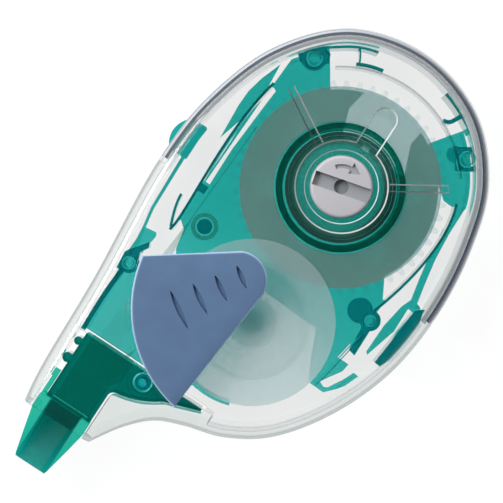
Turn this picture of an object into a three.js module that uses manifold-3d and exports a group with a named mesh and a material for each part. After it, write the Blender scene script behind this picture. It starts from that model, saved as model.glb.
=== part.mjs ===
// Correction tape roller with a side grip: a clear case around two geared reels,
// a twisted tape path and a wedge-shaped tip.
// Millimetres. The origin is on the supply reel's axis, on the rear outer face.
// +X points away from the tip towards the round end, +Z points out of the front face.

import * as THREE from 'three';
import { mergeVertices } from 'three/addons/utils/BufferGeometryUtils.js';
import Module from 'manifold-3d';

const wasm = await Module();
wasm.setup();

// ---------------------------------------------------------------- driving dimensions

const CASE_DEPTH = 14;
const WALL = 1.2;
const FLOOR = 1.1;
const GAP = 0.3;
const MID_Z = CASE_DEPTH / 2;
const ROOF_Z = CASE_DEPTH - FLOOR;
const SLOT_EDGE_X = -42.3;

const TAPE_WIDTH = 4.2;
const FILM = 0.12;
const TWIST_STEPS = 40;
const TAPE_Z0 = MID_Z - TAPE_WIDTH / 2;
const TAPE_Z1 = MID_Z + TAPE_WIDTH / 2;

const MODULE = 0.7;
const DRIVE_TEETH = 49;
const TAKEUP_TEETH = 26;
const GEAR_Z0 = 2.9;
const GEAR_Z1 = 4.5;
const TAKEUP_X = -26.3;

const ROLL_R = 16.5;
const CORE_R = 10.6;
const REEL_FLANGE_R = 13.6;
const REEL_DRUM_R = 8.8;
const AXLE_R = 2.2;
const BORE_R = AXLE_R + GAP;

const DRUM_Z0 = 4.8;
const HUB_Z1 = 10;
const REEL_FLANGE_Z1 = 10.2;

const KNOB_R = 5.1;
const KNOB_HOLE_R = 5.9;
const KNOB_Z0 = 10.3;
const KNOB_Z1 = 13.7;
const KNOB_PIT_R = 1.2;
const KNOB_PIT_DEPTH = 1.6;
const ENGRAVING = 0.35;

const PLATE_Z0 = 1.5;
const PLATE_Z1 = 2.5;
const GUIDE = { x: -17.5, y: 15, post: 1.25, r: 2.25 };
const GUIDE_Z0 = 4.6;
const GUIDE_Z1 = 9.4;

const HEAD_Y = 17.65;
const HEAD_Z0 = 2.5;
const HEAD_Z1 = 11.5;
const HEAD_PIN = { x: -44.2, y: 9.5, r: 1.35 };
const MOUTH_Y0 = 12.8;
const MOUTH_Y1 = 22.9;
const TIP_X = -65.8;
const COLLAR_X0 = -57.1;
const COLLAR_X1 = -54.7;
const NOSE_X = -57;

const BAND_Z0 = 4.2;
const BAND_Z1 = 9.8;
const BAND_THICK = 1.0;
const BAND_BACKING = 1.2;

// How far the inner frame stays in from the case outline.
const FRAME_MARGIN = 2.3;
const BOSS_TOP = 8.2;
const WALL_TOP = 10.5;
const BORE_Z0 = 3.2;
const STOP_WALL_Z0 = 8.6;

const PAD_Z0 = 13.4;
const PAD_THICK = 1.2;
const PAD_BEVEL = 0.4;
const SLIT_DEPTH = 0.55;

// Case outline, anticlockwise from the round end, over the top edge, round the
// nose and back along the belly.
const OUTLINE_POINTS = [
  [25.7, 0], [22.6, 12.6], [13.0, 21.6], [0, 26.2], [-12, 27.2], [-34, 25.5],
  [-55, 24.3], [-61, 22.6], [-63, 18], [-61, 13.7], [-56.6, 11.2], [-52.0, 8.2],
  [-48.4, 4.6], [-46.4, 0], [-44.6, -6], [-40.4, -12.6], [-32, -18.9], [-21, -23.3],
  [-9, -24.6], [3, -23.4], [13.5, -20.0], [22.0, -12.2],
];
const OUTLINE_COUNT = 76;

// The edge radius of a half case: height above the flat face, and how far the
// surface has moved in from the outline.
const OUTER_PROFILE = [[0, 2.6], [0.35, 1.6], [1.1, 0.8], [2.3, 0.25], [3.8, 0]];
const INNER_PROFILE = [[FLOOR, 2.9], [1.6, 2.2], [2.4, 1.5], [3.8, WALL]];

// Bosses of the inner frame that take the case pins: centre, radius, bore.
const BOSSES = [
  { x: 15.3, y: 15.1, r: 2.0, bore: 1.35 },
  { x: 15.2, y: -14.8, r: 2.0, bore: 1.4 },
  { x: -15.5, y: -16.0, r: 1.75, bore: 1.0 },
  { x: -29.2, y: 22.1, r: 1.7, bore: 1.1 },
];

// Lobes of the inner frame's floor plate, besides the round ones under the reels.
const PLATE_LOBES = [
  // Above and between the reels, up to the long wall along the tape path.
  [[-24.8, 16.0], [-23.2, 17.1], [-19.8, 17.8], [-18.5, 19.3], [2.4, 19.3], [7.8, 18.6],
    [14.3, 18.3], [18.2, 15.2], [18.4, 13.9], [13.5, 10.6], [6, 6], [-4, -12], [-12.2, -16.6],
    [-18.0, -16.2], [-20.8, -15.6], [-25.5, -14.8], [-29.6, -13.4], [-27, -12.0],
    [-21.5, -9.5], [-21, 2], [-19, 8]],
  // Wedge between the long wall and the top edge.
  [[-3.8, 21.1], [2.5, 21.5], [5.3, 21.4], [8.3, 20.7], [11.9, 19.4], [7.2, 19.0], [1.8, 19.5]],
  // Below the thumb pad, out to the head.
  [[-23.6, 16.0], [-18.5, 8], [-20, 1.4], [-28.8, 0.6], [-29.2, 1.7], [-40.2, 2.6],
    [-41.2, 8], [-41.8, 11], [-41.8, 23.2], [-31, 23.4], [-29.7, 20.4], [-27.6, 18.6]],
  // Small corner by the top edge.
  [[-23.0, 23.4], [-22.7, 21.3], [-23.3, 21.0], [-28, 21.5], [-28, 23.6]],
  // Right of the tape roll.
  [[14.5, -8.4], [21.5, -13.6], [14.5, -19.2], [8.5, -19.4], [7.7, -17.5], [7.8, -15.6],
    [10.0, -12.9], [8, -8]],
  // Strip along the belly, ending in a foot and a lens.
  [[8.6, -18.2], [8.6, -19.3], [3.5, -19.4], [-1, -19.8], [-5, -20.5], [-8.9, -21.3],
    [-9.3, -22.8], [-10.6, -22.8], [-10.4, -20.5], [-14.8, -20.6], [-20.5, -19.0],
    [-20.1, -18.6], [-14.9, -18.7], [-10.7, -19.4], [-8.9, -20.1], [-5, -19.3],
    [-1, -18.6], [3.8, -18.1]],
  // Two fingers below the take-up reel.
  [[-23.5, -14.9], [-23.5, -17.3], [-25, -17.1], [-27.3, -15.6], [-28.5, -14.9],
    [-28.9, -15.9], [-28.6, -16.5], [-26.2, -17.9], [-24.2, -18.8], [-24.3, -19.9],
    [-26.1, -19.3], [-28, -17.9], [-29.7, -16.3], [-29.6, -13.6], [-26, -14]],
];

// Standing walls of the inner frame: points, thickness, top.
const FRAME_WALLS = [
  [[[-21.0, 19.5], [-15, 19.3], [-6, 19.6], [2.4, 19.3], [8.2, 18.4]], 0.45, WALL_TOP],
  [[[-15.1, 21.2], [-17.5, 20.8], [-20.6, 19.7]], 0.45, 7],
  [[[-41.2, 22.5], [-36, 22.6], [-30.5, 22.3]], 0.8, WALL_TOP],
  [[[8.2, -17.4], [-0.5, -18.45], [-9.0, -17.1], [-14, -15.6]], 0.45, BOSS_TOP],
  [[[17.2, 15.4], [19.4, 12.4], [20.9, 9.9], [21.9, 6.9]], 0.45, BOSS_TOP],
  [[[20.9, 9.9], [20.0, 9.2], [18.7, 8.5]], 0.3, BOSS_TOP],
  [[[18.3, 8.9], [19.2, 6.9], [19.8, 4.6]], 0.6, BOSS_TOP],
  [[[19.0, -13.0], [20.4, -10.6], [21.5, -8.2], [22.2, -6.0]], 0.8, WALL_TOP],
  [[[18.4, -8.0], [18.9, -9.2], [19.8, -9.7], [20.7, -10.4]], 0.7, BOSS_TOP],
];

// Solid blocks of the inner frame: outline, top.
const FRAME_BLOCKS = [
  [[[14.5, 17.8], [17.9, 14.8], [17.4, 13.3], [15.9, 12.7], [13.2, 15.1], [13.6, 16.9]], BOSS_TOP],
  [[[15.7, -11.9], [18.1, -15.4], [14.7, -17.7], [12.5, -14.2]], BOSS_TOP],
  [[[-16.0, -16.9], [-15.5, -15.3], [-21.4, -15.8], [-21.7, -17.0]], BOSS_TOP],
  [[[-24.5, 21.1], [-25.4, 20.7], [-26.7, 21.5], [-29.7, 20.4], [-30.6, 21.3], [-31.0, 23.3],
    [-30.2, 23.9], [-28.1, 23.8]], 9],
  [[[-13.2, 18.0], [-11.8, 18.0], [-11.8, 19.4], [-13.2, 19.4]], BOSS_TOP],
];

// A tall lens-shaped wall close to the belly of the case.
const BELLY_LENS = [
  [-9.2, -22.3], [-11.8, -23.1], [-15.5, -22.9], [-18.9, -22.3], [-20.9, -21.4],
  [-20.8, -20.3], [-16.4, -20.7], [-13.1, -20.9], [-10.1, -21.2],
];

// ---------------------------------------------------------------- small helpers

const material = (color, roughness, options = {}) =>
  new THREE.MeshStandardMaterial({ color, roughness, metalness: 0, ...options });
const clear = () => material(0xe4f0ee, 0.12, { transparent: true, opacity: 0.35 });
const teal = () => material(0x14af9b, 0.25, { transparent: true, opacity: 0.7 });
const darkGreen = () => material(0x045f50, 0.3, { transparent: true, opacity: 0.85 });

function toManifold(geometry) {
  const bare = geometry.clone();
  bare.deleteAttribute('normal');
  bare.deleteAttribute('uv');
  const merged = mergeVertices(bare, 1e-4);
  const vertProperties = new Float32Array(merged.attributes.position.array);
  const triVerts = new Uint32Array(merged.index.array);
  return new wasm.Manifold(new wasm.Mesh({ numProp: 3, vertProperties, triVerts }));
}

function toGeometry(solid) {
  const mesh = solid.getMesh();
  const geometry = new THREE.BufferGeometry();
  geometry.setAttribute('position', new THREE.BufferAttribute(mesh.vertProperties, 3));
  geometry.setIndex(new THREE.BufferAttribute(mesh.triVerts, 1));
  geometry.computeVertexNormals();
  return geometry;
}

const { lerp } = THREE.MathUtils;
const join = (...solids) => solids.reduce((sum, solid) => sum.add(solid));
const cut = (solid, ...tools) => tools.reduce((rest, tool) => rest.subtract(tool), solid);

function prism(shape, z0, z1) {
  const options = { depth: z1 - z0, bevelEnabled: false, curveSegments: 10 };
  return toManifold(new THREE.ExtrudeGeometry(shape, options).translate(0, 0, z0));
}

const polygonShape = (points) =>
  new THREE.Shape(points.map(([x, y]) => new THREE.Vector2(x, y)));
const polygon = (points, z0, z1) => prism(polygonShape(points), z0, z1);

function block(x0, x1, y0, y1, z0, z1) {
  const box = new THREE.BoxGeometry(x1 - x0, y1 - y0, z1 - z0);
  return toManifold(box.translate((x0 + x1) / 2, (y0 + y1) / 2, (z0 + z1) / 2));
}

function disc(x, y, radius, z0, z1, segments = 24) {
  const cylinder = new THREE.CylinderGeometry(radius, radius, z1 - z0, segments);
  return toManifold(cylinder.rotateX(Math.PI / 2).translate(x, y, (z0 + z1) / 2));
}

function tube(x, y, outer, inner, z0, z1, segments = 24) {
  const hole = disc(x, y, inner, z0 - 1, z1 + 1, segments);
  return disc(x, y, outer, z0, z1, segments).subtract(hole);
}

// Skins a stack of equal-length loops into a closed solid with flat ends. The
// loops run anticlockwise as seen from where the stack is heading.
function loft(loops) {
  const count = loops[0].length;
  const positions = loops.flat().flatMap((point) => [point.x, point.y, point.z]);
  const indices = [];
  for (let ring = 0; ring < loops.length - 1; ring++) {
    for (let i = 0; i < count; i++) {
      const a = ring * count + i;
      const b = ring * count + ((i + 1) % count);
      indices.push(a, b, b + count, a, b + count, a + count);
    }
  }
  const top = (loops.length - 1) * count;
  for (const [a, b, c] of capTriangles(loops[0])) {
    indices.push(a, c, b);
    indices.push(top + a, top + b, top + c);
  }
  const geometry = new THREE.BufferGeometry();
  geometry.setAttribute('position', new THREE.Float32BufferAttribute(positions, 3));
  geometry.setIndex(indices);
  return toManifold(geometry);
}

// Triangles that fill one loop: a pair for a four-cornered one, else by ear
// clipping in the XY plane.
function capTriangles(loop) {
  if (loop.length === 4) return [[0, 1, 2], [0, 2, 3]];
  const flat = loop.map((point) => new THREE.Vector2(point.x, point.y));
  return THREE.ShapeUtils.triangulateShape(flat, []);
}

// ---------------------------------------------------------------- case outline

const outlineCurve = new THREE.CatmullRomCurve3(
  OUTLINE_POINTS.map(([x, y]) => new THREE.Vector3(x, y, 0)), true, 'centripetal');
const outline = outlineCurve.getSpacedPoints(OUTLINE_COUNT).slice(0, OUTLINE_COUNT);

// The outline moved inwards by a distance, at a height.
function insetLoop(distance, z) {
  return outline.map((point, i) => {
    const before = outline[(i + OUTLINE_COUNT - 1) % OUTLINE_COUNT];
    const after = outline[(i + 1) % OUTLINE_COUNT];
    const along = after.clone().sub(before).normalize();
    return new THREE.Vector3(point.x - along.y * distance, point.y + along.x * distance, z);
  });
}

// A solid of the case outline whose edges follow a profile at one end (rear or
// front) and run straight to the height endZ at the other.
function halfCase(profile, isFront, endZ) {
  const loops = profile.map(([height, inset]) =>
    insetLoop(inset, isFront ? CASE_DEPTH - height : height));
  loops.push(insetLoop(profile[profile.length - 1][1], endZ));
  return loft(isFront ? loops.reverse() : loops);
}

// The stretch of the outline that carries the edge band: from the belly, round
// the round end, to the top edge.
function rimStretch(startX, endX) {
  const start = outline.findIndex((p) => p.y < -20 && p.x > startX);
  const end = outline.findIndex((p) => p.y > 20 && p.x < endX);
  return { start, end: end + OUTLINE_COUNT };
}

function rimStrip(startX, endX, outerInset, innerInset, z0, z1) {
  const { start, end } = rimStretch(startX, endX);
  const outer = insetLoop(outerInset, 0);
  const inner = insetLoop(innerInset, 0);
  const points = [];
  for (let i = start; i <= end; i++) points.push(outer[i % OUTLINE_COUNT]);
  for (let i = end; i >= start; i--) points.push(inner[i % OUTLINE_COUNT]);
  return polygon(points.map((p) => [p.x, p.y]), z0, z1);
}

// ---------------------------------------------------------------- grip pad outline

// A rounded triangle: a long arc on the tip side, a straight lower edge, a small
// round corner and a straight edge back up.
function padShape(grow) {
  const shape = new THREE.Shape();
  const arcCentre = { x: -23.3, y: -0.4, r: 21.5 + grow };
  const cornerR = 4.7 + grow;
  shape.absarc(arcCentre.x, arcCentre.y, arcCentre.r, 1.74, 2.98, false);
  shape.absarc(-21.7, 5.7, cornerR, -1.64, 0.45, false);
  shape.closePath();
  return shape;
}

// ---------------------------------------------------------------- case shells

// The open mouth between the upper arm and the lower fin, where the head sits.
function headMouth(z0, z1) {
  const shape = new THREE.Shape();
  shape.moveTo(SLOT_EDGE_X, MOUTH_Y1);
  shape.lineTo(-80, MOUTH_Y1);
  shape.lineTo(-80, MOUTH_Y0);
  shape.lineTo(-49.3, MOUTH_Y0);
  shape.quadraticCurveTo(-48.3, MOUTH_Y0, -48.2, 11.8);
  shape.quadraticCurveTo(-47.6, 8, -45.3, 5);
  shape.lineTo(-42.9, -1.6);
  shape.lineTo(SLOT_EDGE_X, -1.6);
  shape.closePath();
  return prism(shape, z0, z1);
}

// Half of the case before its own details: a cup with a solid fin and arm, cut
// open at the nose, with a groove for the edge band.
function caseHalf(isFront) {
  const seamZ = isFront ? MID_Z + GAP / 2 : MID_Z - GAP / 2;
  const beyondZ = isFront ? MID_Z - 1 : MID_Z + 1;
  const solid = halfCase(OUTER_PROFILE, isFront, seamZ);
  const cavity = halfCase(INNER_PROFILE, isFront, beyondZ);
  const finZone = block(-70, SLOT_EDGE_X - 0.05, -3, 30, -1, CASE_DEPTH + 1);
  const bandBacking = rimStrip(
    -12, -12.5, BAND_THICK, BAND_THICK + BAND_BACKING, BAND_Z0 - 1.3, BAND_Z1 + 1.3);
  const backingHalf = bandBacking.intersect(solid);
  const groove = rimStrip(-11.2, -11.7, -1.5, BAND_THICK + GAP, BAND_Z0 - GAP, BAND_Z1 + GAP);
  const cup = join(cut(solid, cavity), solid.intersect(finZone), backingHalf);
  const nose = block(-80, NOSE_X, -5, 40, -1, CASE_DEPTH + 1);
  return cut(cup, groove, headMouth(-1, CASE_DEPTH + 1), nose);
}

function rearCover() {
  const studs = BOSSES.map((boss) => disc(boss.x, boss.y, boss.bore, FLOOR - 0.5, PLATE_Z0 - GAP, 12));
  const tabWindow = block(-10.3, -3.2, 22, 32, PLATE_Z0 - GAP, 3.6 + GAP);
  return cut(join(caseHalf(false), ...studs), tabWindow);
}

function frontCover() {
  const bottomZ = 4.6;
  const pins = BOSSES.map((boss) =>
    disc(boss.x, boss.y, boss.bore - GAP, bottomZ, ROOF_Z + 0.4, 12));
  const padBacking = prism(padShape(0.95), PAD_Z0 - 1.3, CASE_DEPTH);
  const padPocket = prism(padShape(GAP), PAD_Z0 - GAP, CASE_DEPTH + 1);
  const hook = join(
    block(NOSE_X, -55.4, 22.0, 23.6, 11.9, 13.2), disc(-56.2, 22.1, 0.8, 11.9, 13.2, 16));
  const reelWall = curvedWall(
    [[-18.0, -16.2], [-20.8, -15.6], [-25.5, -14.8], [-29.0, -14.0]], 0.4, STOP_WALL_Z0, ROOF_Z + 0.3);
  const shell = join(
    caseHalf(true), ...pins, padBacking, hook, ringWall(), reelWall,
    radialRib(60, 18), radialRib(-58, 17.4));
  return cut(shell, padPocket, disc(0, 0, KNOB_HOLE_R, 8, 16, 40), keyholeRecess());
}

// A curved wall on the inside of the front, round the end of the tape roll.
function ringWall() {
  const wall = tube(0, 0, 19.6, 19.2, STOP_WALL_Z0, ROOF_Z + 0.3, 60);
  return wall.intersect(polygon([[0, 0], [24, -31.8], [40, 0], [32, 23.2]], 0, CASE_DEPTH));
}

function radialRib(degrees, reach) {
  const rib = new THREE.BoxGeometry(reach - 7.6, 0.9, 1.2);
  rib.translate((reach + 7.6) / 2, 0, ROOF_Z - 0.4);
  return toManifold(rib.rotateZ(THREE.MathUtils.degToRad(degrees)));
}

// A shallow keyhole step round the knob, running out to a rounded end.
function keyholeRecess() {
  const z0 = CASE_DEPTH - ENGRAVING;
  const top = CASE_DEPTH + 1;
  return join(
    disc(0, 0, 7.5, z0, top, 40), block(5, 12.9, -1.9, 1.9, z0, top), disc(12.9, 0, 1.9, z0, top, 20));
}

// ---------------------------------------------------------------- band and pad

const edgeBand = () => join(
  rimStrip(-10.6, -11.2, 0, BAND_THICK, BAND_Z0, BAND_Z1),
  rimStrip(-10.2, -10.8, -0.12, BAND_THICK - 0.2, MID_Z - 0.5, MID_Z + 0.5));

// Four lens-shaped slits across the pad for the thumb.
function gripSlit([x0, y0, x1, y1]) {
  const start = new THREE.Vector2(x0, y0);
  const end = new THREE.Vector2(x1, y1);
  const middle = start.clone().add(end).multiplyScalar(0.5);
  const side = end.clone().sub(start).rotateAround(new THREE.Vector2(), Math.PI / 2).setLength(0.95);
  const shape = new THREE.Shape();
  shape.moveTo(start.x, start.y);
  shape.quadraticCurveTo(middle.x - side.x, middle.y - side.y, end.x, end.y);
  shape.quadraticCurveTo(middle.x + side.x, middle.y + side.y, start.x, start.y);
  const options = { depth: 2, bevelEnabled: false, curveSegments: 4 };
  return toManifold(
    new THREE.ExtrudeGeometry(shape, options).translate(0, 0, PAD_Z0 + PAD_THICK - SLIT_DEPTH));
}

function gripPad() {
  const options = {
    depth: PAD_THICK - 2 * PAD_BEVEL, bevelThickness: PAD_BEVEL, bevelSize: 0.45,
    bevelOffset: -0.45, bevelSegments: 1, curveSegments: 14,
  };
  const pad = toManifold(
    new THREE.ExtrudeGeometry(padShape(0), options).translate(0, 0, PAD_Z0 + PAD_BEVEL));
  const slits = [
    [-32.8, 8, -29.1, 14], [-29.1, 6.7, -26.2, 11.5],
    [-25.6, 5.1, -23.1, 9.3], [-22.2, 3.6, -19.9, 7.2],
  ];
  return cut(pad, ...slits.map(gripSlit));
}

// ---------------------------------------------------------------- inner frame

// The moulded plate that carries both axles, the guide post, the case bosses and
// the walls along the belly.
function innerFrame() {
  const walls = FRAME_WALLS.map(([points, thickness, topZ]) =>
    curvedWall(points, thickness, PLATE_Z0, topZ));
  const blocks = FRAME_BLOCKS.map(([points, topZ]) => polygon(points, PLATE_Z0, topZ));
  const posts = [disc(15.0, -12.8, 1.4, PLATE_Z0, 6), disc(-15.0, -13.7, 2.1, PLATE_Z0, BOSS_TOP, 28)];
  const bosses = BOSSES.map((boss) => disc(boss.x, boss.y, boss.r, PLATE_Z0, BOSS_TOP, 20));
  const body = join(basePlate(), ...walls, ...blocks, ...posts, ...bosses)
    .intersect(roomInCase(FRAME_MARGIN));
  const lens = polygon(BELLY_LENS, PLATE_Z0, 9).intersect(roomInCase(WALL + GAP));
  const axles = join(
    disc(0, 0, 3.1, PLATE_Z0, GEAR_Z1 + 0.1), disc(0, 0, AXLE_R, PLATE_Z0, HUB_Z1 - GAP),
    disc(TAKEUP_X, 0, AXLE_R, PLATE_Z0, HUB_Z1 - 1),
    disc(GUIDE.x, GUIDE.y, GUIDE.post, PLATE_Z0, GUIDE_Z1 + 0.5, 16));
  const bores = BOSSES.map((boss) => disc(boss.x, boss.y, boss.bore, BORE_Z0, 12, 16));
  return cut(join(body, lens, axles, rimTab()), ...bores);
}

// The floor plate of the inner frame, open at the round end and along the tape path.
function basePlate() {
  const lobes = PLATE_LOBES.map((points) => polygon(points, PLATE_Z0, PLATE_Z1));
  const crescent = tube(TAKEUP_X, 0, 14.5, 13.5, PLATE_Z0, PLATE_Z1, 60)
    .intersect(polygon([[TAKEUP_X, 0], [-46, 4], [-46, -6.4]], 0, 4));
  const roundEndOpening = polygon(
    [[7.6, 4.4], [12, 5.9], [17.5, 4.9], [17.5, -6.6], [12.7, -5.9], [7.4, -8.0]], 0, 4);
  const tapeSlot = polygon(
    [[-11.2, 18.3], [-4.4, 18.4], [5.2, 17.8], [7.7, 17.6], [8.1, 18.3], [6.4, 18.7], [-11.2, 19.1]],
    0, 4);
  const underReels = join(
    disc(0, 0, 16.4, PLATE_Z0, PLATE_Z1, 48), disc(TAKEUP_X, 0, 2.7, PLATE_Z0, PLATE_Z1, 32));
  return cut(join(underReels, crescent, ...lobes), roundEndOpening, tapeSlot);
}

// The room inside the closed case, less a margin to its walls.
function roomInCase(margin) {
  const loops = [
    insetLoop(3.3, FLOOR + GAP), insetLoop(2.7, 1.9), insetLoop(margin, 2.8),
    insetLoop(margin, CASE_DEPTH - 2.8), insetLoop(2.7, CASE_DEPTH - 1.9),
  ];
  return loft(loops).subtract(block(-80, -41.8, -40, 40, -1, 20));
}

// A standing wall that follows a smooth line through a few points.
function curvedWall(points, thickness, z0, z1) {
  const curve = new THREE.SplineCurve(points.map(([x, y]) => new THREE.Vector2(x, y)));
  const steps = 6;
  const left = [];
  const right = [];
  for (let i = 0; i <= steps; i++) {
    const point = curve.getPoint(i / steps);
    const along = curve.getTangent(i / steps);
    left.push([point.x - along.y * thickness / 2, point.y + along.x * thickness / 2]);
    right.push([point.x + along.y * thickness / 2, point.y - along.x * thickness / 2]);
  }
  return polygon([...right, ...left.reverse()], z0, z1);
}

// A springy arm that ends in a rounded tab standing out of the top edge.
function rimTab() {
  const arm = polygon(
    [[-26.5, 22.4], [-23.1, 23.2], [-19.6, 23.8], [-9.6, 24.1], [-3.8, 23.6], [-3.8, 24.2],
      [-9.6, 24.7], [-19.6, 24.3], [-23.1, 23.7], [-27.0, 23.3]], 1.7, 3.4);
  const dome = new THREE.Shape();
  dome.moveTo(-3.6, 23.8);
  dome.lineTo(-3.6, 26.6);
  dome.quadraticCurveTo(-5.2, 28.3, -7.2, 28.3);
  dome.quadraticCurveTo(-9.2, 28.1, -9.9, 26.9);
  dome.lineTo(-9.9, 23.8);
  dome.closePath();
  return join(arm, prism(dome, 1.6, 3.5));
}

// ---------------------------------------------------------------- gears and reels

// Involute spur gear outline with a little backlash, one tooth centred on +X.
function gearShape(teeth) {
  const pitchR = MODULE * teeth / 2;
  const baseR = pitchR * Math.cos(THREE.MathUtils.degToRad(20));
  const tipR = pitchR + MODULE * 0.9;
  const rootR = pitchR - MODULE * 1.15;
  const backlash = 0.07;
  const involute = (radius) => {
    const cosine = Math.min(1, baseR / Math.max(radius, baseR));
    const angle = Math.acos(cosine);
    return Math.tan(angle) - angle;
  };
  const halfAtPitch = (Math.PI * MODULE / 2 - backlash) / 2 / pitchR;
  const halfAngle = (radius) => halfAtPitch + involute(pitchR) - involute(radius);
  const radii = [rootR, (rootR + pitchR) / 2 + 0.1, tipR];
  const points = [];
  for (let tooth = 0; tooth < teeth; tooth++) {
    const centre = tooth * 2 * Math.PI / teeth;
    const rising = radii.map((radius) => [radius, centre - halfAngle(radius)]);
    const falling = radii.map((radius) => [radius, centre + halfAngle(radius)]).reverse();
    for (const [radius, angle] of [...rising, ...falling]) {
      points.push([radius * Math.cos(angle), radius * Math.sin(angle)]);
    }
  }
  return polygonShape(points);
}

// The large gear, with a collar for the friction ring and six lightening holes.
function driveGear() {
  const gear = prism(gearShape(DRIVE_TEETH), GEAR_Z0, GEAR_Z1);
  const collar = disc(0, 0, 7.0, GEAR_Z0, 7.8, 36);
  const collarRoom = disc(0, 0, 6.2, GEAR_Z1 - 0.3, 9, 36);
  const lightening = [0, 60, 120, 180, 240, 300].map((degrees) => {
    const angle = THREE.MathUtils.degToRad(degrees);
    return disc(11.6 * Math.cos(angle), 11.6 * Math.sin(angle), 2.4, 0, 6, 12);
  });
  return cut(join(gear, collar), collarRoom, disc(0, 0, 3.1 + GAP, 0, 9), ...lightening);
}

// A split friction ring that lets the supply core slip on the drive gear's collar.
function clutchSpring() {
  const ring = tube(0, 0, 8.2, 7.3, 5.2, 7.6, 36);
  const anchors = [90, 210, 330].map((degrees) => {
    const nub = new THREE.BoxGeometry(0.9, 1.4, 2.0);
    return toManifold(nub.translate(8.5, 0, 6.4).rotateZ(THREE.MathUtils.degToRad(degrees)));
  });
  return cut(join(ring, ...anchors), block(6, 10, -0.7, 0.7, 4, 9));
}

// The ring that the tape is wound on.
const supplyCore = () => join(
  tube(0, 0, CORE_R, 9.6, DRUM_Z0, 9.3, 56), tube(0, 0, CORE_R, 9.4, DRUM_Z0, DRUM_Z0 + 0.5, 56));

// The hub that carries the ring: a web, a bored tube and two keys for the knob.
function supplyHub() {
  const wall = tube(0, 0, 9.1, 8.5, 8.1, 9.5, 48);
  const web = tube(0, 0, 9.1, 3.0, 8.1, 8.9, 48);
  const hub = tube(0, 0, 4.0, BORE_R, DRUM_Z0, HUB_Z1, 28);
  const keys = [1, -1].map((side) =>
    block(Math.min(2.8 * side, 3.7 * side), Math.max(2.8 * side, 3.7 * side), -0.8, 0.8, 9.6, 11.2));
  return join(wall, web, hub, ...keys);
}

const tapeRoll = () => tube(0, 0, ROLL_R, CORE_R + 0.25, TAPE_Z0, TAPE_Z1, 64);

// The rewind knob: a screwdriver-wide slot, a centre pit and an engraved arrow
// for the winding direction.
function rewindKnob() {
  const profile = [
    [0, KNOB_Z0], [4.7, KNOB_Z0], [4.9, KNOB_Z0 + 0.3], [KNOB_R, KNOB_Z1 - 0.7],
    [KNOB_R - 0.12, KNOB_Z1 - 0.3], [KNOB_R - 0.5, KNOB_Z1], [0, KNOB_Z1],
  ].map(([r, z]) => new THREE.Vector2(r, z));
  const body = toManifold(new THREE.LatheGeometry(profile, 40).rotateX(Math.PI / 2));
  const slot = toManifold(new THREE.BoxGeometry(2.3, 9.4, 2.4)
    .translate(0, 0, KNOB_Z1 + 0.3).rotateZ(THREE.MathUtils.degToRad(14)));
  const keySlots = block(-4.0, 4.0, -1.1, 1.1, KNOB_Z0 - 1, 11.5);
  const arrow = join(arrowArc(), arrowHead());
  return cut(body, slot, disc(0, 0, KNOB_PIT_R, KNOB_Z1 - KNOB_PIT_DEPTH, 16, 24), keySlots, arrow);
}

function arrowArc() {
  const shape = new THREE.Shape();
  shape.absarc(0, 0, 3.65, 0.08, 0.86, false);
  shape.absarc(0, 0, 3.0, 0.86, 0.08, true);
  shape.closePath();
  return prism(shape, KNOB_Z1 - ENGRAVING, KNOB_Z1 + 1);
}

const arrowHead = () =>
  polygon([[3.3, -1.5], [4.35, 0.32], [2.35, 0.3]], KNOB_Z1 - ENGRAVING, KNOB_Z1 + 1);

// The pinion that the drive gear turns, keyed into the take-up reel.
function takeupGear() {
  const gear = prism(gearShape(TAKEUP_TEETH), GEAR_Z0, GEAR_Z1);
  const keys = join(block(5, 6.4, -1, 1, 4, 8.2), block(-6.4, -5, -1, 1, 4, 8.2));
  return cut(join(gear, keys), disc(0, 0, BORE_R, 0, 9)).translate([TAKEUP_X, 0, 0]);
}

// The reel that winds the spent film: a drum under a wide flange, with a blind
// bore that turns on the frame's post.
function takeupReel() {
  const drum = tube(0, 0, REEL_DRUM_R, 7.8, DRUM_Z0, 9.8, 48);
  const flange = disc(0, 0, REEL_FLANGE_R, 9.5, REEL_FLANGE_Z1, 64);
  const dish = disc(0, 0, 4.6, REEL_FLANGE_Z1 - 0.25, REEL_FLANGE_Z1 + 1, 32);
  const hub = disc(0, 0, 3.6, DRUM_Z0, REEL_FLANGE_Z1, 28);
  const web = disc(0, 0, 8.3, 7.6, 9.6, 36);
  const keyRoom = join(block(4.7, 6.7, -1.3, 1.3, 4, 8.5), block(-6.7, -4.7, -1.3, 1.3, 4, 8.5));
  const bore = disc(0, 0, BORE_R, 0, HUB_Z1 - 1 + GAP);
  return cut(join(drum, flange, hub, web), bore, dish, keyRoom).translate([TAKEUP_X, 0, 0]);
}

const takeupWind = () => tube(TAKEUP_X, 0, 9.45, REEL_DRUM_R + 0.2, TAPE_Z0, TAPE_Z1, 48);

const guideRoller = () =>
  tube(GUIDE.x, GUIDE.y, GUIDE.r, GUIDE.post + GAP, GUIDE_Z0, GUIDE_Z1, 24);

// ---------------------------------------------------------------- head and tip

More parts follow.
